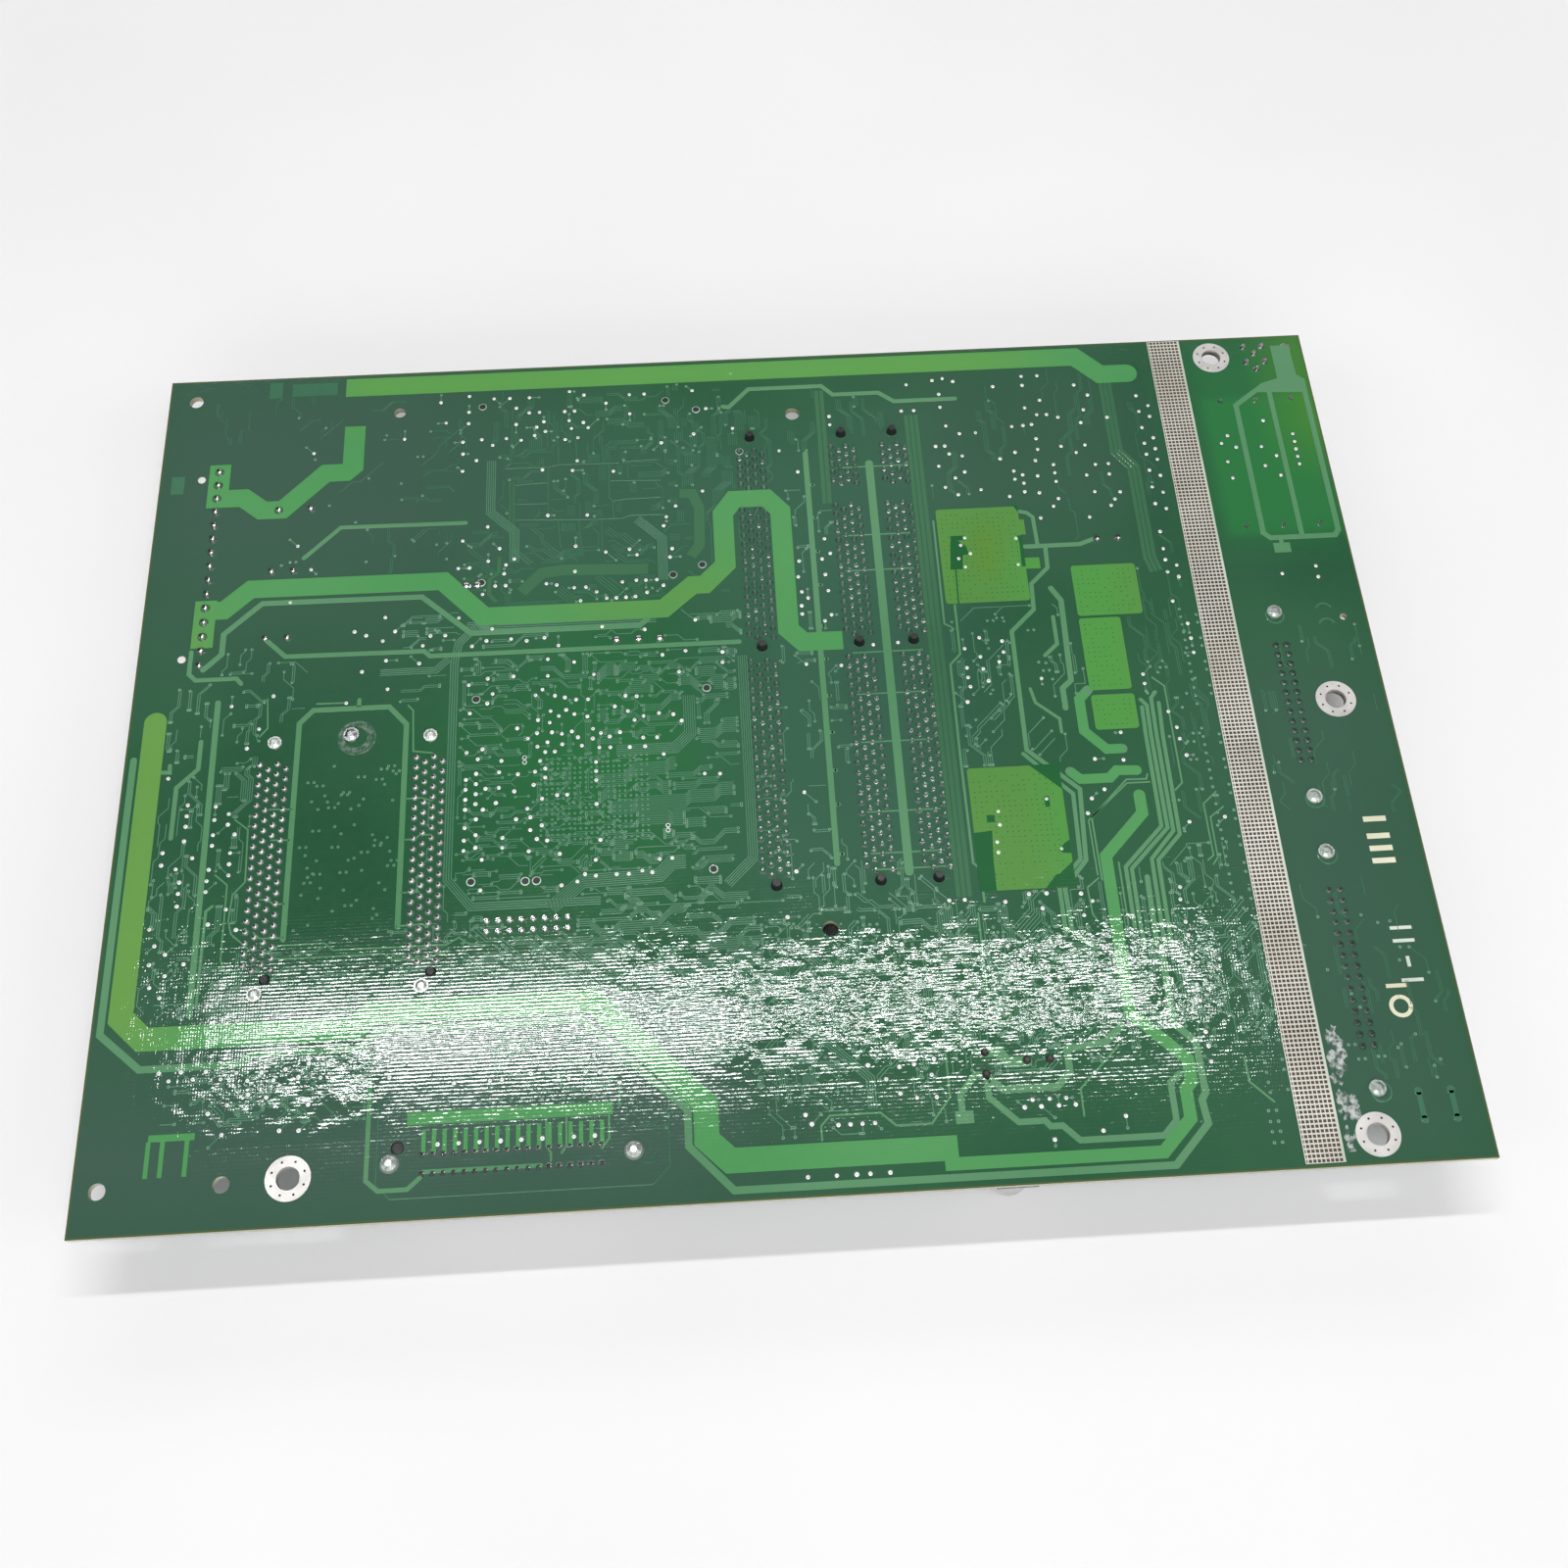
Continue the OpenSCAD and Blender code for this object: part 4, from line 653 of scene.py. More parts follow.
# Lit vias by zone
VIAS = {
    "left": [(15.3, 96), (15.3, 93.3), (15.3, 90.7), (15.3, 87.1), (10.8, 84.5), (10.8, 81.5), (14.1, 80.4),
        (17.5, 82.9), (15.2, 77.2), (15.2, 74.5), (15.2, 71.5), (21.6, 95.3), (21.6, 92), (21.6, 88.3),
        (21.6, 85.7), (21.4, 79.9), (21.2, 77.2), (21.2, 74.6), (24.7, 93.3), (24.7, 90.7), (26.4, 88.2),
        (25.8, 83.7), (25.8, 81), (25.9, 78.3), (32.5, 123.1), (23, 120.9), (29.8, 114.6), (27.4, 109.7),
        (10.2, 103), (49.5, 120.3), (50.4, 139.5), (53.2, 138.3), (57.2, 136.6), (60, 139.1), (57.5, 143.1),
        (58.2, 131.2), (66.7, 134.8), (68.4, 137.4), (71.9, 137.3), (66, 130), (52.7, 128.5), (58.9, 123.5),
        (37.5, 192.2), (35.3, 164.6), (39, 157.6), (34.6, 148.5), (60, 195.4), (68.8, 206.4), (70.3, 199.9),
        (143, 211.6), (11.3, 62.5), (13.8, 60.4), (10.6, 58.2), (14.2, 55.5), (11.2, 53), (13.6, 50.6),
        (18, 58), (9.8, 66.4), (22.4, 66.9), (26, 70.2), (28.6, 65.3), (15.2, 34), (17.4, 32.2), (19.8, 34),
        (22.4, 32.3), (25, 33.8), (28.2, 32), (31.4, 33.2), (33.8, 31.4), (36.6, 33), (39.2, 31.2),
        (41.6, 33.4), (44.4, 31.6), (34.2, 28.4), (38, 27.6), (42.6, 28.6), (30, 26.4), (26.2, 24.8),
        (29.4, 20.2), (41.2, 20.4), (45.2, 20.2), (46.8, 25.6), (49, 31.2), (46.4, 34.4)],
    "middle": [(75, 142), (83, 138.5), (78.3, 134), (81.7, 135.3), (87.5, 135.5), (91.2, 134.8),
        (95.4, 135.4), (98.7, 133.1), (96.2, 129.5), (102.4, 128.4), (107, 124.8), (96.2, 125),
        (88.2, 125.3), (82.2, 125), (77.8, 123.5), (83.4, 120.9), (82.2, 118.4), (78.2, 116), (95, 121.4),
        (93.4, 120), (97.9, 119.6), (100.2, 119), (102.8, 118.3), (105.6, 118.2), (96.9, 115.6),
        (100.5, 115.7), (98.8, 114.2), (102.4, 114.5), (94, 113.4), (96.7, 112.6), (105.4, 113.7),
        (89.2, 111.5), (93.8, 110), (97.2, 110), (99.5, 109.5), (101.8, 110), (91.7, 108.7), (103.2, 108.4),
        (106.7, 110.4), (108.5, 109.2), (106.6, 107.9), (110.5, 108.2), (112.9, 109.2), (93.9, 106.5),
        (96.2, 107.5), (99.6, 106.8), (104.1, 106.2), (95.7, 105), (97.9, 105), (108.1, 105.5),
        (110.6, 105.4), (115.1, 105.2), (118.6, 105.2), (118.2, 107.5), (121.4, 107.4), (116.3, 112.2),
        (118.4, 113.1), (122, 113.7), (125.3, 113.2), (127.2, 111.4), (114.8, 114.6), (111.8, 116),
        (114.3, 118.7), (116.9, 118.4), (127, 124.4), (123.2, 129.2), (128.7, 130), (137.4, 129.2),
        (137.3, 126.4), (131.3, 138.4), (109.1, 137.7), (119.2, 136.4), (77.7, 105.8), (81.3, 106.5),
        (80.3, 104), (85.7, 103.3), (94.5, 102.8), (95.7, 100.8), (93.4, 100.1), (89.5, 99.7), (95.7, 98.5),
        (93.1, 96.8), (85.2, 100.4), (80, 100.3), (77.7, 98.9), (80, 97.7), (77.7, 96.4), (82.2, 96.4),
        (85.2, 96.5), (80, 95.2), (88.7, 95.4), (77.7, 93.9), (80, 92.7), (84.6, 92.7), (95, 93.2),
        (98.4, 93.9), (100.7, 93.9), (77.7, 91.4), (81.7, 91.2), (91.7, 90.9), (92.4, 88.7), (80.2, 88.9),
        (89.2, 88.4), (77.7, 86.9), (95, 86.6), (92.4, 85.6), (80.2, 85), (77.6, 83.8), (86.2, 84),
        (93.9, 83.3), (96.2, 82.8), (80.2, 81.9), (77.6, 81.3), (86.2, 81.6), (92.1, 80.4), (99, 79.4),
        (81.7, 78.9), (108.1, 82.3), (107.3, 91.2), (107.3, 101.8), (107.3, 99.5), (107.3, 97.2),
        (122.8, 103), (132, 97.5), (135.5, 97.3), (121.2, 76.9), (124, 77), (107, 77.5), (104.6, 74.2),
        (107, 73.7), (111.6, 73.8), (114.3, 73.7), (117.3, 74.3), (119.5, 73.8), (102.9, 72.5),
        (81.5, 71.6), (99.4, 71.8)],
    "top": [(76, 208), (82.3, 206.9), (86.3, 206.8), (91.3, 206.8), (101.5, 208.2), (105.2, 206.9),
        (116.8, 206.4), (120.6, 206.4), (132.9, 206.8), (76, 203), (88, 203.6), (91.3, 202), (93.9, 202),
        (100.3, 201.9), (102.8, 201.9), (110.8, 204), (116.8, 200.3), (136.2, 200.9), (76, 199.4),
        (88, 198.5), (95, 199), (93.2, 197.4), (101.4, 199), (105, 198.2), (102, 196.5), (106.2, 196.5),
        (95.4, 195.9), (92.7, 194.8), (85.6, 194.2), (79.4, 194.2), (74.7, 193.7), (89.3, 193.5),
        (100.4, 193.1), (103.6, 193.5), (82.2, 192.3), (132.8, 193.1), (142.7, 194.3), (124.6, 190.8),
        (74.8, 190), (78.2, 187.8), (103.4, 186.4), (94.7, 184.1), (102.2, 183.5), (112.4, 182.7),
        (74.8, 184.7), (96.1, 170.3), (105.8, 169.9), (134.4, 175.5), (127.6, 171.4), (125.2, 168.3),
        (124.5, 165.7), (81.4, 167.7), (75.4, 163.9), (84.4, 161.2), (102.9, 160.9), (110.2, 158.8),
        (116, 159.3), (117.8, 157.6), (126.4, 158.9), (125.8, 156.5), (88, 158), (81.7, 157.7), (74.5, 156),
        (77.2, 156), (86, 156.4), (85.6, 153.9), (102.7, 153.6), (77.3, 150.8), (83.5, 150.5), (86, 150.5),
        (95.8, 150.5), (98.3, 150), (102.5, 149), (105.3, 149), (107.9, 147.5), (114.1, 150),
        (117.5, 150.3), (119.8, 150.2), (122.4, 150.2), (124, 148.5), (120, 146.7), (80.5, 148.3),
        (104, 145.2), (110.3, 145.6), (112.6, 145.6), (114.9, 145.6), (117.2, 145.7)],
    "upper_right": [(154.1, 186.7), (158.4, 180), (163.7, 159.7), (164.8, 155.4), (157.1, 153.6),
        (162.7, 153.9), (156.6, 149.1), (163.2, 149.4), (157.2, 144.8), (163.6, 144.8), (167.4, 196.7),
        (167.4, 194.1), (187.9, 205.7), (194.7, 206.7), (197.4, 207.2), (200, 206.1), (210.1, 203.9),
        (217.8, 206.8), (221.9, 206.8), (217.7, 203.9), (196, 202.2), (195.9, 198.1), (185.9, 197.4),
        (189.1, 197.4), (221.6, 198.9), (217.5, 196.7), (220.3, 194.4), (222.8, 194.3), (225.6, 193.3),
        (196.8, 192.1), (213.5, 191), (216.4, 191.2), (218.6, 191.4), (200, 189.5), (204.1, 189.6),
        (219.2, 186.9), (193.6, 185.9), (195.9, 185.9), (196.8, 183.4), (200, 182.6), (213.4, 183),
        (219.2, 183.6), (225.2, 184.2), (209.4, 181.2), (218.2, 180.2), (193.8, 179.8), (222.6, 178.7),
        (200.1, 177.7), (212.4, 177.3), (197.6, 176), (214.5, 176), (222.6, 176.2), (218.2, 175.5),
        (212.4, 174.8), (194.8, 173.3), (214.5, 173.5), (222.6, 173.6), (203.6, 172.1), (197.8, 170.9),
        (214.4, 170.9), (218, 170.4), (210.5, 169.7), (222.5, 168.4), (221, 166.2), (217.4, 162.9),
        (231, 203.3), (234.1, 199.9), (246.5, 199), (249.1, 195.7), (232.4, 195.3), (246.5, 194),
        (238.1, 192.6), (249, 192.3), (231.2, 191.3), (246.5, 188.9), (248.9, 185.6), (231.3, 184.3),
        (246.4, 184), (228.8, 182.1), (248.9, 182.2), (246.4, 180.6), (248.9, 178.9), (233.1, 178.2),
        (236.4, 178.3), (246.4, 175.7), (230.5, 175.1), (236.2, 175.1), (248.9, 174), (231.8, 170),
        (238.1, 169.6), (246.3, 170.6), (248.8, 168.9), (236.5, 167.5), (235.3, 165.7), (246.3, 165.6),
        (248.8, 164), (229.5, 162.5), (246.2, 157.3), (246.2, 152.3), (246.2, 149.1), (248.7, 147.4),
        (246.2, 145.6), (248.7, 144.1)],
    "ribbon": [(73.9, 15.7), (78.2, 15.7), (82.5, 15.7), (86.8, 15.7), (91.1, 15.7), (95.4, 15.7),
        (101.9, 15.7), (106.2, 15.7), (76.9, 28.4), (84.4, 28.5), (86.9, 28.6), (92.9, 29.6), (98.7, 28.7),
        (100.9, 28), (104.4, 29.3), (107.4, 29), (111.5, 26.6), (63.4, 30.4), (96.3, 33.6), (106.2, 32.8)],
    "on_patches": [(198, 158), (210.5, 157.2), (196.8, 155.9), (198.9, 153.4), (195.9, 152.1),
        (197.3, 149.6), (210.2, 149.6), (209.1, 86.7), (197.8, 84.2), (197.8, 80.9), (196.7, 76.7),
        (196.7, 74.2), (210.9, 74.3)],
    "lower_right": [(158.6, 143), (156.9, 140.9), (156.9, 138.6), (163.9, 138), (162.2, 136.4),
        (173.2, 129.2), (179.1, 129.5), (157, 124.8), (165.2, 124), (198.5, 129.7), (203.8, 128.5),
        (194.7, 126.9), (203.8, 125.5), (198.2, 124.5), (202.5, 122.9), (194.7, 121.7), (198.5, 121.2),
        (194.7, 119.1), (211.9, 117.9), (199.4, 117.9), (195, 116.6), (193.9, 112.6), (221.5, 96.2),
        (219.4, 86.3), (222.6, 88.4), (218, 82.7), (154.4, 91.5), (151.4, 72.2), (246.1, 137.3),
        (248.7, 130.9), (248.8, 126.8), (248.8, 122.9), (235.9, 117.7), (235.9, 115.2), (241.6, 103.3),
        (228.4, 102.7), (241.8, 100.3), (242.7, 96), (228, 95.6), (240.6, 79.3), (248.8, 80.1),
        (240.3, 107.5), (148.8, 61.5), (150.6, 54.7), (184.6, 63.4), (188, 63.4), (202.3, 63.9),
        (206.2, 63.9), (196.9, 62.4), (204.9, 60.4), (213.8, 63.4), (216.1, 61.5), (213.8, 58.3),
        (173.2, 53.8), (196.2, 52.1), (202.9, 50.7), (149.9, 17.5), (151.1, 15.5), (156.6, 15), (159.1, 15),
        (161.6, 15), (164.2, 15), (195.6, 16.5), (197.4, 18), (199.1, 16.5), (201, 18), (202.8, 16.5),
        (204.5, 18), (206.3, 16.5), (211.2, 23), (216.4, 13.5), (211.3, 10.7), (201, 9.4), (149.6, 4.6),
        (155.5, 4.6), (159.6, 4.6), (162.4, 4.6), (166.5, 4.6), (167.3, 24.1), (170, 20.9), (173.4, 19.8),
        (177.5, 19.7), (176.9, 24.5), (173.4, 27), (177.7, 27.9), (170.3, 26.6), (163.7, 27.3),
        (235.9, 63.7), (235.5, 60.8), (235.8, 55.5), (235.9, 52.4), (235.9, 48), (235.9, 41.1), (236, 37.5),
        (236, 30.5), (236.1, 27.4), (236.1, 24)],
    "right_zone": [(277.7, 189.4), (267.8, 185.2), (265.9, 182.9), (284.5, 184.9), (284.5, 182.5),
        (275.8, 181.4), (269.4, 181.5), (284.4, 180.2), (279.1, 178.4), (284.4, 177.9), (266.5, 177.2),
        (275.7, 175.5), (284.4, 175.6), (266.9, 172.2), (279.1, 172.4), (273.95, 143.6), (282.5, 145.3),
        (282.5, 142.2)],
}
RINGED_HOLES = [
    (79.6, 119.6), (133.3, 119.7), (79.4, 73.7), (133.1, 73.8), (91.4, 73.2), (93.9, 73.2), (79.45, 204.45),
    (125.95, 204.05), (133.65, 200.7), (133.55, 153.85), (126.4, 151.35), (80.15, 151.6), (144.1, 187),
]
RIBBON_WAYS = 18
BALL_PITCH = 1.27  # of the processor's ball grid, and of the dots on the patches
HEADER_PADS = [(11.9 + 2.77 * k, 11.6) for k in range(5)] + [(13.3 + 2.77 * k, 8.6) for k in range(4)]
LIT_PADS = [(112.5, 133.8), (117.7, 133.8), (122.7, 133.7), (76.5, 151), (79.2, 151)]
OUTLINE_DOTS = [(269.9, 131.9), (270, 83.3), (270.1, 69.5), (270.6, 15.6)]

# Zones of fine tracks: corners, number of bundles, most lines in a bundle, length in steps,
# headings, thin or not
FINE_ZONES = [
    ((76, 68, 92, 130), 120, 2, 26, (0, 4), 0), ((108, 74, 142, 128), 190, 7, 56, (0, 4), 0),
    ((76, 104, 140, 131), 150, 3, 30, (2, 6, 0), 0), ((92, 72, 122, 106), 120, 2, 20, (0, 4, 6), 0),
    ((94, 83, 120, 104), 60, 1, 8, (1, 3, 5, 7), 0), ((76, 66, 142, 84), 130, 5, 46, (0, 4, 5), 0),
    ((84, 166, 128, 192), 170, 4, 30, (2, 6, 0, 4), 1), ((76, 145, 140, 168), 150, 5, 34, (0, 4, 7), 1),
    ((82, 188, 140, 209), 110, 4, 30, (2, 6, 0), 1), ((124, 160, 152, 200), 90, 6, 40, (2, 6), 1),
    ((141, 66, 152, 130), 90, 2, 16, (0, 4, 1, 5), 0), ((62, 120, 142, 146), 120, 4, 60, (0, 4), 0),
    ((8, 46, 30, 110), 130, 3, 34, (2, 6, 0), 0), ((26, 44, 76, 60), 90, 3, 40, (0, 4), 0),
    ((66, 60, 78, 112), 60, 2, 26, (2, 6), 0), ((8, 110, 40, 136), 40, 2, 20, (2, 6, 0), 0),
    ((62, 45, 148, 66), 150, 4, 50, (0, 4, 7), 0), ((140, 24, 216, 62), 420, 3, 24, (1, 5, 2, 6, 0), 0),
    ((106, 30, 160, 56), 130, 5, 34, (7, 3, 0), 0), ((186, 28, 252, 74), 260, 3, 30, (2, 6, 1), 0),
    ((141, 13, 186, 30), 60, 2, 18, (2, 6, 7), 0), ((186, 170, 250, 209), 22, 3, 60, (2, 6), 1),
    ((212, 148, 250, 176), 8, 3, 40, (2, 6), 1), ((186, 96, 222, 138), 70, 2, 26, (2, 6, 1, 5), 0),
    ((234, 80, 250, 150), 60, 2, 30, (2, 6), 1), ((154, 62, 190, 74), 70, 2, 24, (2, 6, 7), 0),
    ((155, 74, 166, 190), 90, 2, 14, (0, 4, 2), 0), ((84, 24, 128, 40), 90, 3, 20, (0, 4, 7, 1), 0),
    ((22, 22, 60, 36), 110, 2, 16, (0, 4, 7, 1), 0), ((262, 78, 290, 132), 30, 2, 18, (2, 6), 1),
    ((262, 18, 290, 64), 26, 2, 18, (2, 6), 1), ((44, 150, 76, 208), 34, 2, 26, (2, 6, 0, 1), 1),
    ((12, 196, 44, 210), 14, 2, 14, (2, 6, 1), 1), ((16, 22, 34, 34), 20, 2, 14, (0, 4), 0),
    ((110, 8, 128, 30), 16, 1, 12, (0, 4), 1), ((141, 186, 190, 209), 24, 3, 24, (2, 6), 1),
]


def node_places(name):
    """Centres of a node's separate solids, in layout millimetres, found from its mesh."""
    mesh = nodes[name].data
    parent = list(range(len(mesh.vertices)))

    def root(i):
        while parent[i] != i:
            parent[i] = parent[parent[i]]
            i = parent[i]
        return i

    by_place = {}
    for v in mesh.vertices:
        key = (round(v.co.x * 1e5), round(v.co.y * 1e5), round(v.co.z * 1e5))
        parent[v.index] = by_place.setdefault(key, v.index)
    for e in mesh.edges:
        a, b = root(e.vertices[0]), root(e.vertices[1])
        if a != b:
            parent[a] = b
    groups = {}
    for v in mesh.vertices:
        groups.setdefault(root(v.index), []).append(v.co)
    found = []
    for points in groups.values():
        x = (min(p.x for p in points) + max(p.x for p in points)) / 2
        y = (min(p.y for p in points) + max(p.y for p in points)) / 2
        high = max(p.z for p in points)
        found.append((*layout(x, y), high / MM))
    return sorted(found)


def take_known():
    """Marks what the CAD nodes and the listed tracks, holes and pads cover, with room round each."""
    for width, path in POWER_TRACKS + NARROW_TRACKS + LIT_TRACKS:
        face.take_path(path, width)
    for x0, y0, x1, y1 in PATCH_BOXES + TAKEN_BOXES:
        face.take_box(x0, y0, x1, y1)
    for node in JOINT_NODES:
        for x, y, _ in joint_places[node]:
            face.take_disc(x, y, 0.8)
    for x, y, radius in ROUND_BARS:
        face.take_disc(x, y, radius)
    for places in VIAS.values():
        for x, y in places:
            face.take_disc(x, y, 0.6)
    for x, y in RINGED_HOLES + LIT_PADS:
        face.take_disc(x, y, 1.4)


# Round things that fine tracks keep away from: place and radius
ROUND_BARS = [
    (267.8, 210.1, 6), (279.9, 108.6, 6), (268.0, 6.7, 6), (43.7, 10.4, 6), (6.75, 209.8, 3),
    (58.5, 203.7, 3), (158.2, 198, 5.2), (157.9, 58.3, 4), (5.2, 9.9, 3), (30.2, 9.9, 3), (287.8, 212.3, 3),
    (286.4, 130.7, 2), (51.2, 111.9, 5), (33.7, 110.2, 2.6), (69.4, 110.2, 2.6), (33, 50.5, 3),
    (69, 50.6, 3), (15.2, 25.2, 2.4), (64.3, 12, 3), (114.3, 12.2, 3), (146.75, 191.2, 2.4),
    (169.9, 191.2, 2.4), (182.8, 191.2, 2.4), (146.75, 129.9, 2.2), (169.9, 129.9, 3.2),
    (182.8, 129.9, 2.2), (146.75, 69.1, 2.4), (169.9, 69.1, 2.4), (182.8, 69.1, 2.4), (10.1, 185.6, 2),
    (10.2, 133.6, 2),
]
JOINT_NODES = ["memory_solder_1", "memory_solder_2", "memory_solder_3", "expansion_solder", "ribbon_solder",
    "power_pins", "small_pins", "cable_pins", "module_pins", "relay_pins", "can_leads", "cable_locks",
    "expansion_locks", "ribbon_locks"]
joint_places = {}
for node in JOINT_NODES:
    joint_places[node] = [p for p in node_places(node) if p[2] > TOP]


def narrow_tracks():
    """Tracks placed one by one, with the nubs, rungs and pads that join them."""
    piece = Piece("narrow_tracks")
    for width, path in NARROW_TRACKS:
        piece.track(path, width)
        for x, y in (path[0], path[-1]):
            piece.disc(x, y, [(width / 2, 0), (width / 2 - 0.04, TRACK_RISE + 0.002)], 12)
    for y in NUB_ROWS:
        piece.box(160.6, y - 0.45, 162, y + 0.45, LOWER_RISE)
        piece.disc(162, y, [(0.45, 0), (0.41, LOWER_RISE)], 10)
    for y in RUNG_ROWS:
        piece.box(168.2, y - 0.18, 184.8, y + 0.18, FINE_RISE)
    # a pad near the front edge, a small one with its neck below the loop at the right
    piece.box(181, 13.8, 184.8, 16.5, LOWER_RISE)
    piece.box(273.3, 149.6, 277.4, 152.4, LOWER_RISE)
    piece.box(274.9, 152, 276, 153.6, TRACK_RISE - 0.008)
    # the filled area in the loop's back right corner
    piece.plate([(277.8, 198.4), (290.8, 197.8), (290.8, 202), (288.9, 203.5), (288.7, 213.2),
                 (283.8, 213.2), (283.8, 202.6), (279.2, 201.2)], TRACK_RISE - 0.006)
    piece.make(MASK_TRACK_PALE, "mask_over_copper")


def lit_tracks():
    """Brighter short tracks, and the comb over the ribbon connector."""
    piece = Piece("lit_tracks")
    for width, path in LIT_TRACKS:
        piece.track(path, width)
    for k in range(RIBBON_WAYS):
        x = 71 + 2.16 * k
        piece.track([(x, 18.9), (x, 13.9)], 0.9, TRACK_RISE - 0.01)
    piece.make(MASK_TRACK, "mask_over_copper")


def bus_lines():
    """Bundles of parallel fine lines."""
    piece = Piece("bus_lines")
    for count, pitch, width, path in BUSES:
        for k in range(count):
            line = beside(path, (k - (count - 1) / 2) * pitch)
            piece.track(line, width, FINE_RISE + 0.01)
        face.take_path(path, count * pitch)
    piece.make(MASK_FINE, "mask_over_copper")


TAIL_CHANCE = 0.62
NO_TAILS = ("on_patches", "ribbon", "upper_right", "right_zone")


def via_tails():
    """Short tracks from many of the vias, each with its far end in a small ringed hole."""
    rng = random.Random(17)
    piece, ends = Piece("via_tails"), []
    for zone, places in VIAS.items():
        if zone in NO_TAILS:
            continue
        for x, y in places:
            di, dj = Face.TURNS[rng.randrange(8)]
            reach = rng.choice((1.25, 1.5, 2.0, 2.5))
            tip = (x + di * reach, y + dj * reach)
            cells = [(round((x + di * t) / Face.STEP), round((y + dj * t) / Face.STEP))
                     for t in (1.0, reach)]
            if rng.random() < TAIL_CHANCE and all(face.free(*cell) for cell in cells):
                piece.track([(x, y), tip], 0.24, FINE_RISE)
                ends.append(tip)
                face.take_disc(*tip, 0.5)
    piece.make(MASK_FINE, "mask_over_copper")
    return ends


def bands():
    """Smooth wide lines between the memory sockets and the patches, faint under the mask."""
    piece = Piece("dim_bands")
    for count, pitch, width, path in BANDS:
        for k in range(count):
            piece.track(beside(path, (k - (count - 1) / 2) * pitch), width, 0.02)
        face.take_path(path, count * pitch)
    for width, path in CHIP_TRACKS:
        piece.track(path, width, 0.018 if width > 2 else FINE_RISE)
        face.take_path(path, width)
    piece.make(MASK_BAND, "mask_over_copper")


def patch_details():
    """Notches, ears and the grid of small dots on the copper patches."""
    notches, ears, dots = Piece("patch_notches"), Piece("patch_ears"), Piece("patch_dots")
    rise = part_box("copper_patches")[1][2] / MM - TOP
    for corners in NOTCHES:
        notches.plate(corners, rise + 0.006)
    for x0, y0, x1, y1 in PATCH_EARS:
        ears.box(x0, y0, x1, y1, rise - 0.002)
    rng = random.Random(9)
    for x0, y0, x1, y1 in PATCH_BOXES:
        for i in range(1, int((x1 - x0) / BALL_PITCH)):
            for j in range(1, int((y1 - y0) / BALL_PITCH)):
                if rng.random() < 0.6:
                    dots.disc(x0 + BALL_PITCH * i, y0 + BALL_PITCH * j,
                              [(0.16, rise + 0.003), (0.1, rise + 0.005)], 6)
    notches.make(MASK_PLAIN, "solder_mask")
    ears.make(MASK_PATCH, "mask_over_copper")
    dots.make(MASK_PLAIN, "solder_mask")


def fine_tracks():
    """Bundles of fine tracks that wander between the parts; many end in a small ringed hole."""
    rng = random.Random(11)
    fine, thin, ends = Piece("fine_tracks"), Piece("thin_tracks"), []
    for zone, bundles, most, length, headings, is_thin in FINE_ZONES:
        piece = thin if is_thin else fine
        for _ in range(bundles):
            start = (int(rng.uniform(zone[0], zone[2]) / face.STEP),
                     int(rng.uniform(zone[1], zone[3]) / face.STEP))
            if not face.free(*start):
                continue
            heading = rng.choice(headings)
            cells = face.lead(rng, start, heading, rng.randint(length // 2, length), zone)
            if len(cells) < 5:
                continue
            side = Face.TURNS[(heading + 2) % 8]
            for k in range(rng.randint(1, most)):
                line = cells if k == 0 else face.follow(cells, (side[0] * k, side[1] * k), zone)
                if len(line) < 5:
                    break
                for cell in line:
                    face.fill(*cell)
                path = face.corners(line)
                piece.track(path, THIN_WIDTH if is_thin else FINE_WIDTH, FINE_RISE)
                chance = THIN_ENDS if is_thin else FINE_ENDS
                ends.extend(p for p in (path[0], path[-1]) if rng.random() < chance)
    fine.make(MASK_FINE, "mask_over_copper")
    thin.make(MASK_THIN, "mask_over_copper")
    return ends


def ring_vias(ends):
    """Small holes under the mask: a low ring, paler as a painted glint, with a near-black painted shade in
    the middle.
    """
    piece = Piece("ring_vias")
    core = Piece("ring_via_hole_shades")
    places, grid = list(ends), []
    # two columns of small holes along the strip, with a gap in the middle
    for k in range(56):
        y = 135 - 2.15 * k
        if not 103 < y < 109 and y > 15:
            places.append((247.3, y))
            if k % 3:
                places.append((251.1, y + 0.4))
    for y in (12.9, 10.6, 8.5, 6.2):
        places.extend([(246.2, y), (247.9, y)])
    # the processor's ball grid, open round its centre
    for i in range(20):
        for j in range(17):
            x, y = 94.8 + BALL_PITCH * i, 82.8 + BALL_PITCH * j
            if (abs(x - 107) > 2.2 or abs(y - 93) > 2.2) and (7 * i + 5 * j) % 9:
                grid.append((x, y))
    for k in range(RIBBON_WAYS):
        places.extend([(71 + 2.16 * k, 20.3), (71.6 + 2.16 * k, 24)])
    rng = random.Random(33)
    for x0, y0, x1, y1, count in SCATTER:
        for _ in range(count):
            x, y = rng.uniform(x0, x1), rng.uniform(y0, y1)
            if face.free(round(x / Face.STEP), round(y / Face.STEP)):
                places.extend([(x, y), (x + rng.choice((-1.4, 1.4)), y)][:rng.choice((1, 1, 2))])
                face.take_disc(x, y, 1.0)
    for x, y in grid:
        piece.annulus(x, y, *GRID_RING, FINE_RISE, 8)
    for x, y in places:
        piece.annulus(x, y, *HOLE_RING, FINE_RISE + 0.02, 8)
        core.disc(x, y, [(0.16, FINE_RISE + 0.012)], 8)
    piece.make(MASK_RING_GLINT, "mask_over_copper")
    core.make(WELL_SHADE, "solder_mask")


VIA_RADII = (0.37, 0.44)
PATCH_BASE = 0.12


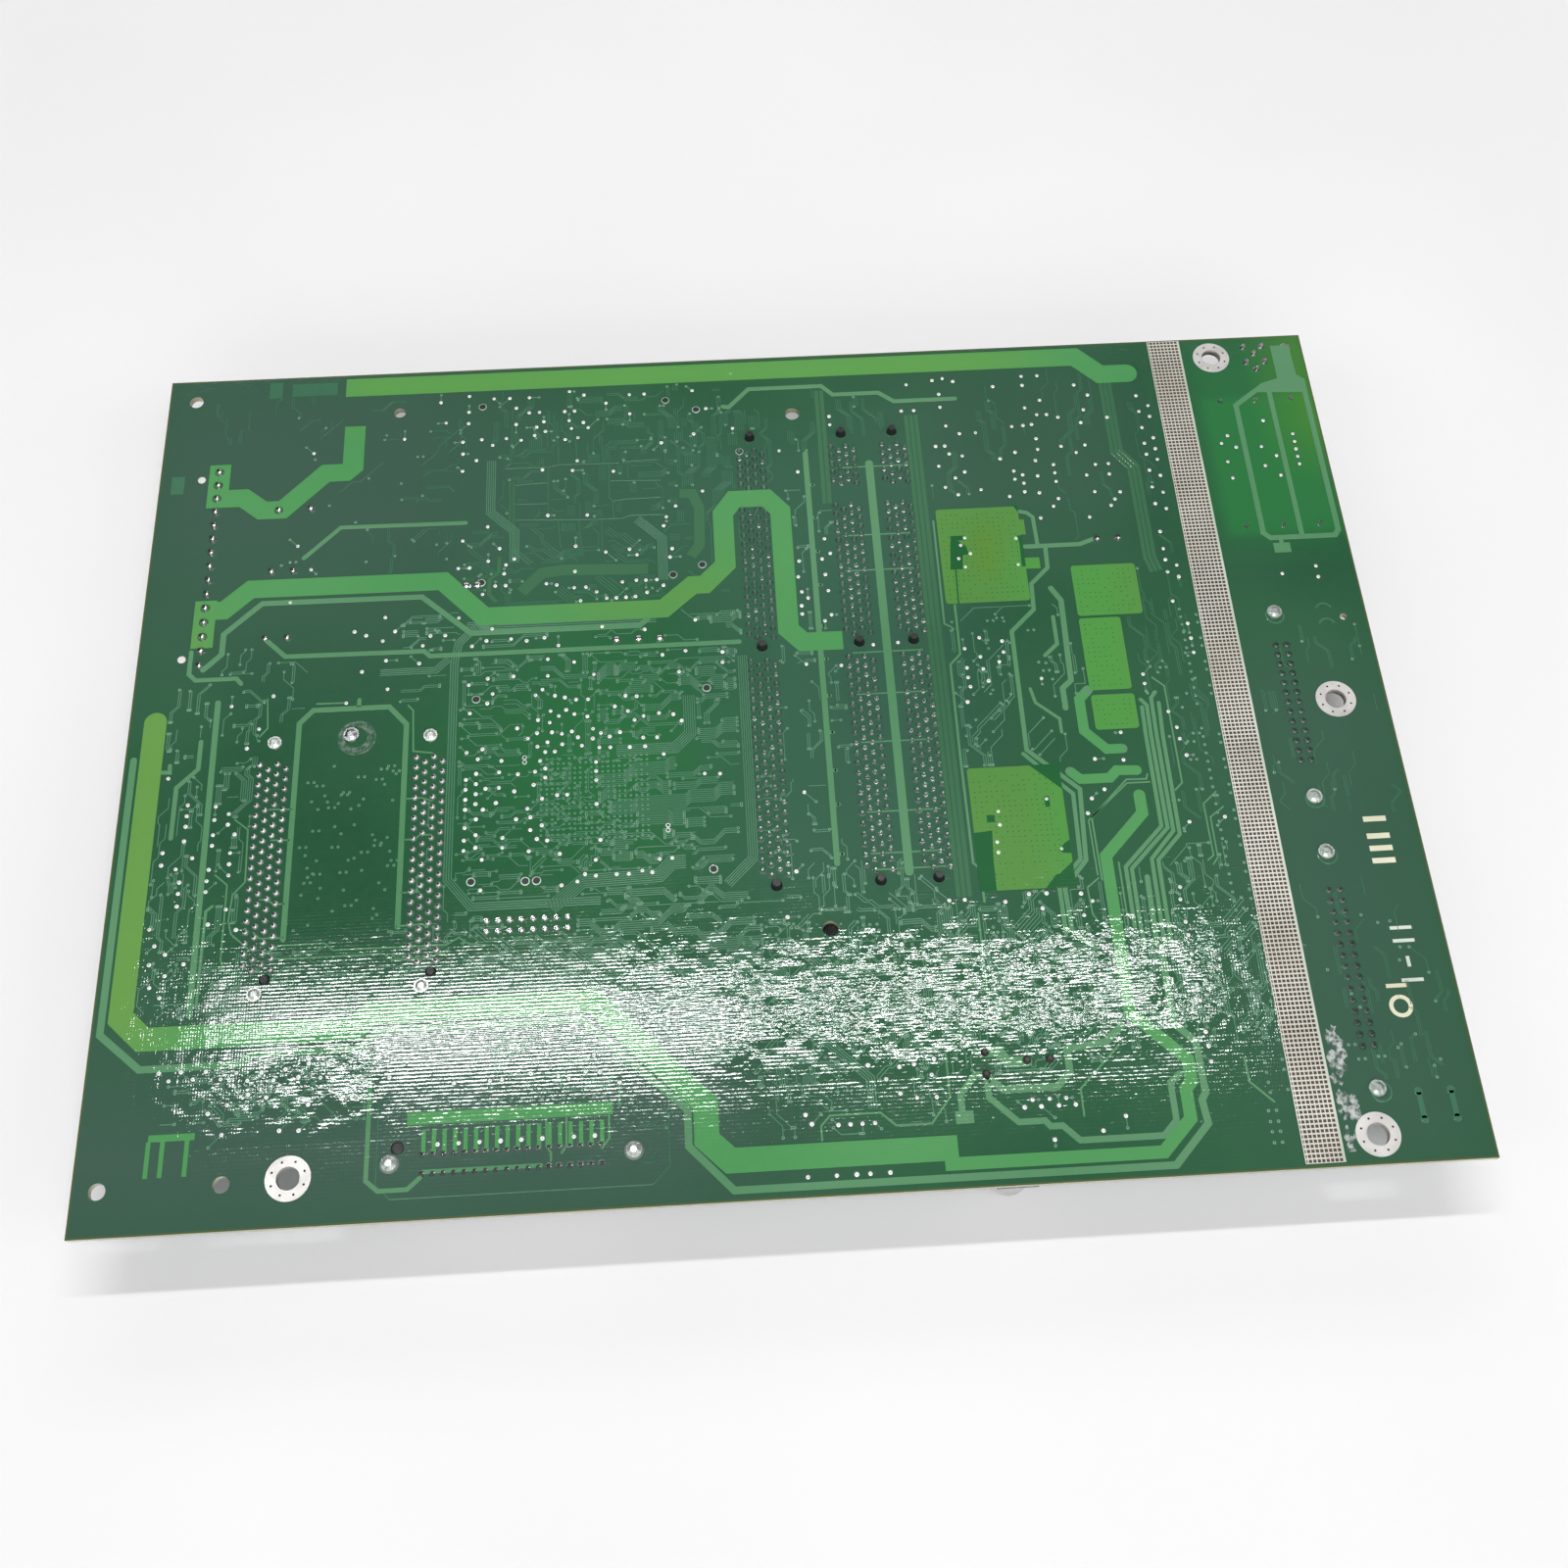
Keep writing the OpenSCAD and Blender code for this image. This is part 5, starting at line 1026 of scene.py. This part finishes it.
def vias():
    """Vias filled with solder: a white rim round a dimmer middle, in a dark skirt of flux and painted
    shade.
    """
    rim, core, skirts = Piece("vias"), Piece("via_cores"), Piece("via_skirts")
    rng = random.Random(5)
    for places in VIAS.values():
        for x, y in places:
            base = FINE_RISE if places is not VIAS["on_patches"] else PATCH_BASE
            radius = rng.uniform(*VIA_RADII)
            skirts.disc(x, y, [(radius + 0.24, base - 0.03), (radius, base - 0.01)], 12)
            rim.disc(x, y, [(radius + 0.1, 0.0), (radius, base + 0.04), (radius - 0.12, base + 0.09),
                            (0.15, base + 0.05)], 12)
            core.disc(x, y, [(0.17, base + 0.066)], 8)
    rim.make(VIA_TIN, "solder", smooth=True)
    core.make(VIA_CORE, "solder")
    skirts.make(FLUX_AND_SHADE, "solder_mask")


# Dark green round vias and joints: flux, and painted shade where they meet the mask
FLUX_AND_SHADE = plain("flux_and_painted_shade", (0.008, 0.030, 0.022), (0.020, 0.060, 0.042), 0.3)
MASK_TRACK_PALE = mask("mask_over_narrow_track", (0.095, 0.265, 0.125), (0.13, 0.31, 0.16))
# Paler than the mask round it, standing in for the small rings' glints: painted highlight
MASK_RING_GLINT = mask("mask_over_ring_painted_glint", (0.13, 0.31, 0.19), (0.24, 0.43, 0.30))

take_known()
narrow_tracks()
lit_tracks()
bus_lines()
bands()
patch_details()
tail_ends = via_tails()
track_ends = fine_tracks()
ring_vias(track_ends + tail_ends)
vias()


def ringed_holes():
    """Open plated holes: a thin bright rim round a disc of painted shade in the hole, and the five lit
    pads.
    """
    rim, well_shade = Piece("ringed_hole_rims"), Piece("ringed_hole_well_shades")
    for x, y in RINGED_HOLES:
        rim.annulus(x, y, 1.05, 0.8, TRACK_RISE, 20)
        well_shade.disc(x, y, [(0.82, 0.03)], 20)
    # two pairs of rings that stand close together
    for x, y in ((91, 103.2), (123.3, 84.4)):
        for k in (-1, 1):
            rim.annulus(x, y + 0.6 * k, 0.62, 0.3, TRACK_RISE, 16)
            well_shade.disc(x, y + 0.6 * k, [(0.32, 0.03)], 16)
    rim.make(MASK_RING_PALE, "solder")
    well_shade.make(WELL_SHADE, "solder_mask")
    for k in range(RIBBON_WAYS):
        rim.annulus(70.6 + 2.18 * k, 24.1, 0.6, 0.3, TRACK_RISE, 12)
        well_shade.disc(70.6 + 2.18 * k, 24.1, [(0.32, 0.05)], 10)
    for x, y in HEADER_PADS:
        rim.annulus(x, y, 0.62, 0.3, TRACK_RISE, 14)
        well_shade.disc(x, y, [(0.32, 0.05)], 12)
    pads = Piece("lit_pads")
    lead_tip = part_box("three_pin_filter")[1][2] / MM - TOP
    for x, y in LIT_PADS:
        top = lead_tip + 0.03 if 110 < x < 125 else 0.42
        pads.disc(x, y, [(0.95, 0), (0.9, top * 0.6), (0.66, top), (0.3, top + 0.02)], 16)
    pads.make(SOLDER, "solder", smooth=True)


MASK_RING_PALE = plain("tinned_rim", (0.30, 0.42, 0.34), (0.52, 0.62, 0.55), 0.35, 0.4)
ringed_holes()


def joint_well_shades():
    """Painted shade in the open mouths of the sockets' joints, and flux and painted shade round each joint.
    """
    well_shades, skirts = Piece("joint_well_shades"), Piece("joint_skirts")
    for node, mouth, skirt in (("expansion_solder", 0.0, 0.86), ("cable_pins", 0.34, 0.86),
                               ("ribbon_solder", 0.3, 0.8), ("memory_solder_1", 0.0, 0.78),
                               ("memory_solder_2", 0.0, 0.78), ("memory_solder_3", 0.0, 0.78)):
        for x, y, high in joint_places[node]:
            if mouth:
                well_shades.disc(x, y, [(mouth, high - TOP + 0.004), (mouth * 0.7, high - TOP + 0.03)], 10)
            skirts.disc(x, y, [(skirt, 0.006), (0.5, 0.02)], 12)
    well_shades.make(WELL_SHADE, "solder_mask")
    skirts.make(FLUX_AND_SHADE, "solder_mask")


def expansion_rings():
    """Bright solder round the expansion sockets' pins, with painted shade in its mouth a little to the back
    left.
    """
    rings, mouth_shades = Piece("expansion_rings"), Piece("expansion_mouth_shades")
    for x, y, high in joint_places["expansion_solder"]:
        top = high - TOP + 0.02
        rings.disc(x, y, [(0.66, 0.0), (0.62, top * 0.45), (0.5, top * 0.8), (0.34, top)], 14)
        mouth_shades.disc(x - 0.1, y + 0.07, [(0.36, top - 0.08), (0.3, top + 0.02), (0.2, top + 0.03)], 12)
    rings.make(RING_TIN, "solder", smooth=True)
    mouth_shades.make(WELL_SHADE, "solder_mask")


HEADER_BACK = 70  # the small pins in front of this line are the two-row header's, plain domes


def pin_rings():
    """Bright solder fillets on the right of the power and small parts' pins, with painted shade on the
    left.
    """
    rings, mouth_shades = Piece("pin_rings"), Piece("pin_mouth_shades")
    for node in ("power_pins", "small_pins", "can_leads"):
        for x, y, high in joint_places[node]:
            top = high - TOP + 0.01
            rings.disc(x + 0.08, y - 0.05,
                       [(0.84, 0.0), (0.78, top * 0.45), (0.6, top * 0.85), (0.4, top)], 16)
            if node != "small_pins" or y > HEADER_BACK:
                mouth_shades.disc(x - 0.16, y + 0.12,
                            [(0.5, top - 0.1), (0.44, top + 0.02), (0.3, top + 0.03)], 14)
    rings.make(SOLDER, "solder", smooth=True)
    mouth_shades.make(WELL_SHADE, "solder_mask")


def memory_domes():
    """Round solder over the memory sockets' joints: many bright, some in a darker, greener solder."""
    rng = random.Random(21)
    bright, dull = Piece("memory_domes"), Piece("memory_dull_domes")
    for node, share in (("memory_solder_1", 0.22), ("memory_solder_2", 0.55), ("memory_solder_3", 0.66)):
        middle = sum(x for x, _, _ in joint_places[node]) / len(joint_places[node])
        for x, y, _ in joint_places[node]:
            chance = share * (1.35 if abs(x - middle) < 2 else 0.7)
            piece = bright if rng.random() < chance else dull
            size = rng.uniform(0.62, 0.72) if piece is bright else rng.uniform(0.5, 0.6)
            piece.disc(x, y, [(size, 0.0), (size * 0.95, 0.14), (size * 0.8, 0.32), (size * 0.58, 0.44),
                              (size * 0.38, 0.48)], 14)
    bright.make(SOLDER, "solder", smooth=True)
    dull.make(DULL_SOLDER, "solder", smooth=True)
    for node in ("memory_solder_1", "memory_solder_2", "memory_solder_3", "cable_pins"):
        nodes[node].material_slots[0].material = DULL_SOLDER
    for node in ("expansion_locks", "cable_locks", "ribbon_locks"):
        nodes[node].material_slots[0].material = LOCK_TIN


RING_TIN = plain("ring_tin", (0.50, 0.56, 0.52), (0.80, 0.84, 0.80), 0.25, 0.6, 1800.0, 0.00003)
expansion_rings()
pin_rings()
memory_domes()
joint_well_shades()


STRIP_COLUMNS = 8
STRIP_ROW = 1.02
STRIP_BAR = 0.34
STRIP_SHIFT = 0.08


def strip_grid():
    """The bare strip's small dark squares: a lattice of bars over a dark floor."""
    low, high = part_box("contact_strip")
    x0, y0 = layout(low[0], low[1])
    width, length = (high[0] - low[0]) / MM, (high[1] - low[1]) / MM
    rise = high[2] / MM - TOP
    bars, floors, border = Piece("strip_bars"), Piece("strip_floors"), Piece("strip_border")
    floors.box(x0 + 0.02, y0 + 0.02, x0 + width - 0.02, y0 + length - 0.02, rise + 0.004, 0.0)
    sliver, edge, gap = 0.55, 0.5, 0.68
    pitch = (width - sliver - edge) / STRIP_COLUMNS
    lines = [(0.0, 0.2)] + [(sliver + k * pitch - STRIP_SHIFT, pitch - gap) for k in range(STRIP_COLUMNS)]
    for left, wide in lines:
        bars.box(x0 + left, y0, x0 + left + wide, y0 + length, rise + 0.03, rise)
    border.box(x0 + width - edge - STRIP_SHIFT, y0, x0 + width, y0 + length, rise + 0.034, 0.0)
    rows = round(length / STRIP_ROW)
    step = length / rows
    for k in range(rows + 1):
        front = y0 + k * step - STRIP_BAR / 2
        bars.box(x0, max(front, y0), x0 + width - edge, min(front + STRIP_BAR, y0 + length),
                 rise + 0.032, rise)
    bars.make(STRIP_TIN, "bare_tin")
    floors.make(STRIP_FLOOR, "bare_tin")
    border.make(STRIP_EDGE, "bare_tin")
    nodes["contact_strip"].material_slots[0].material = STRIP_TIN


STRIP_TIN = plain("strip_tin", (0.62, 0.58, 0.50), (0.80, 0.77, 0.70), 0.42, 0.2, 700.0, 0.00003)
STRIP_EDGE = plain("strip_edge", (0.52, 0.58, 0.48), (0.68, 0.72, 0.62), 0.42, 0.3, 700.0, 0.00003)
STRIP_FLOOR = plain("strip_floor", (0.020, 0.026, 0.016), (0.070, 0.055, 0.036), 0.5, 0.0, 500.0)
strip_grid()


# ---- Marks, rings, residue ----

def hole_linings():
    """Plated walls of the four screw holes, and the eight small dots on each ring, in the near black of the
    painted well shade.
    """
    lining, dots = Piece("hole_linings"), Piece("ring_dots")
    for x, y in RING_PLACES:
        outer, inner = ([lining.ring(circle(x, y, radius, z, 48)) for z in LINING_ENDS]
                        for radius in LINING_RADII)
        lining.bridge(inner[1], inner[0], True)
        lining.bridge(outer[0], outer[1], True)
        lining.bridge(outer[1], inner[1], True)
        lining.bridge(inner[0], outer[0], True)
        for k in range(RING_DOTS):
            angle = math.tau * (k + 0.5) / RING_DOTS
            dots.disc(x + DOT_CIRCLE * math.cos(angle), y + DOT_CIRCLE * math.sin(angle),
                      [(0.26, 0.122), (0.18, 0.128)], 10)
    lining.make(LINING, "bare_tin", smooth=True)
    dots.make(WELL_SHADE, "bare_tin")


# Centres of the four screw holes, from the bare rings of the frame
RING_PLACES = [(x, y) for x, y, _ in node_places("mount_rings")]
RING_DOTS = 8
DOT_CIRCLE = 3.6
LINING_RADII = (2.449, 2.38)
LINING_ENDS = (UNDER + 0.02, TOP + 0.115)
LINING = plain("plated_wall", (0.30, 0.27, 0.24), (0.42, 0.39, 0.35), 0.45, 0.5)
hole_linings()


def mark(piece, x, y, strokes, size=1.0, turn=90.0):
    """A generic mark of straight strokes, turned about its place."""
    c, s = math.cos(math.radians(turn)), math.sin(math.radians(turn))
    for path, width in strokes:
        points = [(x + size * (px * c - py * s), y + size * (px * s + py * c)) for px, py in path]
        piece.track(points, width * size, 0.022, 0.002)


def ring_path(radius, sides=20):
    return [(radius * math.cos(math.tau * k / sides), radius * math.sin(math.tau * k / sides))
            for k in range(sides + 1)]


def marks():
    """Hand stamps without meaning: bars, a ring and ticks."""
    cream, pale = Piece("cream_marks"), Piece("pale_marks")
    mark(cream, 282.4, 73.5, [([(-6, -2.6), (-6, 2.6)], 1.3), ([(-3, -2.6), (-3, 2.6)], 1.3),
                              ([(0, -2.6), (0, 2.6)], 1.3), ([(4.2, -2.6), (4.2, 2.6)], 1.3)])
    mark(pale, 282.6, 46.5, [([(-7, -2.4), (-7, 2.4)], 0.8), ([(-4, 0), (-1.6, 0)], 0.8),
                             ([(2, -2.4), (2, 2.4)], 0.8), ([(5, -2.4), (5, 2.4)], 0.8)])
    mark(cream, 278.8, 33.8, [(ring_path(2.1), 0.9), ([(4.6, -2.3), (4.6, 2.3)], 0.9)])
    cream.make(INK, "solder_mask")
    pale.make(INK_PALE, "solder_mask")


marks()


def small_marks():
    """Bars and loops of mask relief at the right edge and below the ribbon connector."""
    piece = Piece("mask_reliefs")
    for x in (278.35, 285.25):
        piece.track([(x, 9.5), (x, 15)], 1.2, 0.05)
        piece.disc(x, 15.2, [(0.9, 0), (0.8, 0.05)], 14)
        piece.disc(x, 9.3, [(0.9, 0), (0.8, 0.05)], 14)
    for y in (128.5, 132.8):
        piece.track([(282 + 1.9 * math.cos(a), y + 1.9 * math.sin(a)) for a in
                     [math.pi * (0.1 + 0.8 * k / 10) for k in range(11)]], 0.5, 0.04)
    outline = [(61.5, 25.5), (61.5, 8), (64.5, 5), (118, 5), (121.5, 8.5), (121.5, 27), (118.5, 29.5),
               (64, 29.5)]
    piece.track(outline, 0.25, 0.02)
    for x0, y0, x1, y1 in ((25, 210, 28.3, 215), (30.8, 210.3, 42.3, 214.3), (2.8, 181.5, 6, 186.8)):
        piece.box(x0, y0, x1, y1, 0.02)
    for x, y in OUTLINE_DOTS:
        piece.annulus(x, y, 2.3, 1.9, 0.03, 24)
    piece.make(MASK_THIN, "solder_mask")


small_marks()


# Parts of the smear: middle, half width, half length and number of flakes
SMEARS = [(262.2, 16, 1.5, 14, 34), (263.4, 12, 2.6, 2.4, 16), (263.2, 27, 1.4, 4, 12)]


def residue():
    """A dried whitish smear beside the strip: a ragged thin film."""
    rng = random.Random(3)
    piece, stain = Piece("residue_smear"), Piece("stain_rings")
    for cx, cy, rx, ry, count in SMEARS:
        for _ in range(count):
            angle, away = rng.uniform(0, math.tau), math.sqrt(rng.random())
            x, y = cx + rx * away * math.cos(angle), cy + ry * away * math.sin(angle)
            size = rng.uniform(0.5, 1.5)
            turn = rng.uniform(0, math.tau)
            edge = []
            for k in range(14):
                a = math.tau * k / 14
                reach = size * rng.uniform(0.5, 1.0) * (1.6 if abs(math.sin(a)) > 0.7 else 1.0)
                edge.append((x + reach * math.cos(a + turn) * 0.6, y + reach * math.sin(a + turn)))
            piece.plate(edge, rng.uniform(0.02, 0.05), 0.001)
    for radius, width, x, y in STAINS:
        points = [(x + px, y + py) for px, py in ring_path(radius)]
        stain.track(points, width, 0.03, 0.001)
    piece.make(RESIDUE, "solder_mask")
    stain.make(STAIN, "solder_mask")


# Dried rings round studs and holes: radius, width, place
STAINS = [(3.3, 1.3, 52.2, 111.2), (4.2, 0.5, 52.4, 111), (2.9, 0.7, 30.4, 49.2)]


def residue_finish(name, most):
    """A pale film that covers in patches, at most by a given share."""
    f = Finish(name)
    cover = f.span(f.noise(700.0, 4.0), 0.42, 0.62, 0.02, most)
    return f.set(Base_Color=f.mix(f.noise(300.0), (0.72, 0.76, 0.74), (0.86, 0.88, 0.86)), Alpha=cover,
                 Roughness=f.span(f.noise(200.0), 0.3, 0.7, 0.5, 0.8))


RESIDUE = residue_finish("dried_residue", 0.55)
STAIN = residue_finish("dried_stain", 0.2)
residue()


# ---- Floor, light and camera ----

FLOOR_TINTS = ((0.92, 0.91, 0.92), (0.95, 0.94, 0.95))


def floor():
    """A wide pale sheet of paper."""
    mesh = bpy.data.meshes.new("floor")
    half = 3.0
    corners = [(-half, -half, 0), (half, -half, 0), (half, half, 0), (-half, half, 0)]
    mesh.from_pydata(corners, [], [(0, 1, 2, 3)])
    f = Finish("pale_paper")
    f.set(Base_Color=f.mix(f.span(f.noise(6.0, 2.0), 0.35, 0.65), *FLOOR_TINTS), Roughness=0.7)
    mesh.materials.append(f.material)
    made = bpy.data.objects.new("floor", mesh)
    bpy.context.scene.collection.objects.link(made)


# Soft lamps: name, size, place, what it points at (all in metres) and power in watts
LAMPS = [
    ("tube", (1.15, 0.05), (-0.025, 0.405, 1.52), (-0.025, -0.06, 0.02), 8.4),
    ("top", (1.6, 0.9), (0.1, -0.85, 1.9), (0, 0, 0), 21),
    ("front", (2.2, 0.9), (0.0, -2.1, 1.1), (0, 0, 0), 14),
    ("back", (2.6, 1.0), (0.0, 2.3, 1.7), (0, 1.3, 0), 12),
    ("left", (1.2, 1.2), (-1.9, -0.6, 1.5), (0, 0, 0), 6),
    ("right", (1.2, 1.2), (1.9, -0.8, 1.4), (0, 0, 0), 8),
]
# The room is bright up to this height on the way from down to up, and dark above the second one
ROOM_FALL = (("From Min", 0.42), ("From Max", 0.66), ("To Min", 0.95), ("To Max", 0.36))


def lamp(name, size, place, aim, power):
    """A soft rectangular lamp that points at a place."""
    light = bpy.data.lights.new(name, "AREA")
    light.shape = "RECTANGLE"
    light.size, light.size_y = size
    light.energy = power
    made = bpy.data.objects.new(name, light)
    made.location = place
    made.rotation_euler = (Vector(aim) - Vector(place)).to_track_quat("-Z", "Y").to_euler()
    bpy.context.scene.collection.objects.link(made)


def lights():
    """A room that is bright round about and darker overhead, one long tube, and soft side light."""
    world = bpy.data.worlds.new("room")
    bpy.context.scene.world = world
    world.use_nodes = True
    tree = world.node_tree
    heading = tree.nodes.new("ShaderNodeTexCoord")
    split = tree.nodes.new("ShaderNodeSeparateXYZ")
    tree.links.new(heading.outputs["Generated"], split.inputs[0])
    fall = tree.nodes.new("ShaderNodeMapRange")
    for key, value in ROOM_FALL:
        fall.inputs[key].default_value = value
    tree.links.new(split.outputs[2], fall.inputs["Value"])
    tree.links.new(fall.outputs["Result"], tree.nodes["Background"].inputs["Strength"])
    for name, size, place, aim, power in LAMPS:
        lamp(name, size, place, aim, power)


# Solved from the photo: millimetres from the middle of the top face, and degrees
CAMERA_PLACE = (-7.35, -177.03, 340.0)
CAMERA_TURN = (25.581, -0.303, -3.350)
FOCAL_MM = 38.05
SENSOR_MM = 36.0


def camera():
    """The photo's camera."""
    data = bpy.data.cameras.new("camera")
    data.sensor_width = SENSOR_MM
    data.lens = FOCAL_MM
    data.clip_start = 0.01
    made = bpy.data.objects.new("camera", data)
    made.location = (CAMERA_PLACE[0] * MM, CAMERA_PLACE[1] * MM, (CAMERA_PLACE[2] + TOP) * MM)
    made.rotation_euler = Euler([math.radians(angle) for angle in CAMERA_TURN], "XYZ")
    bpy.context.scene.collection.objects.link(made)
    bpy.context.scene.camera = made


floor()
lights()
camera()
bpy.context.scene.view_settings.view_transform = "Standard"
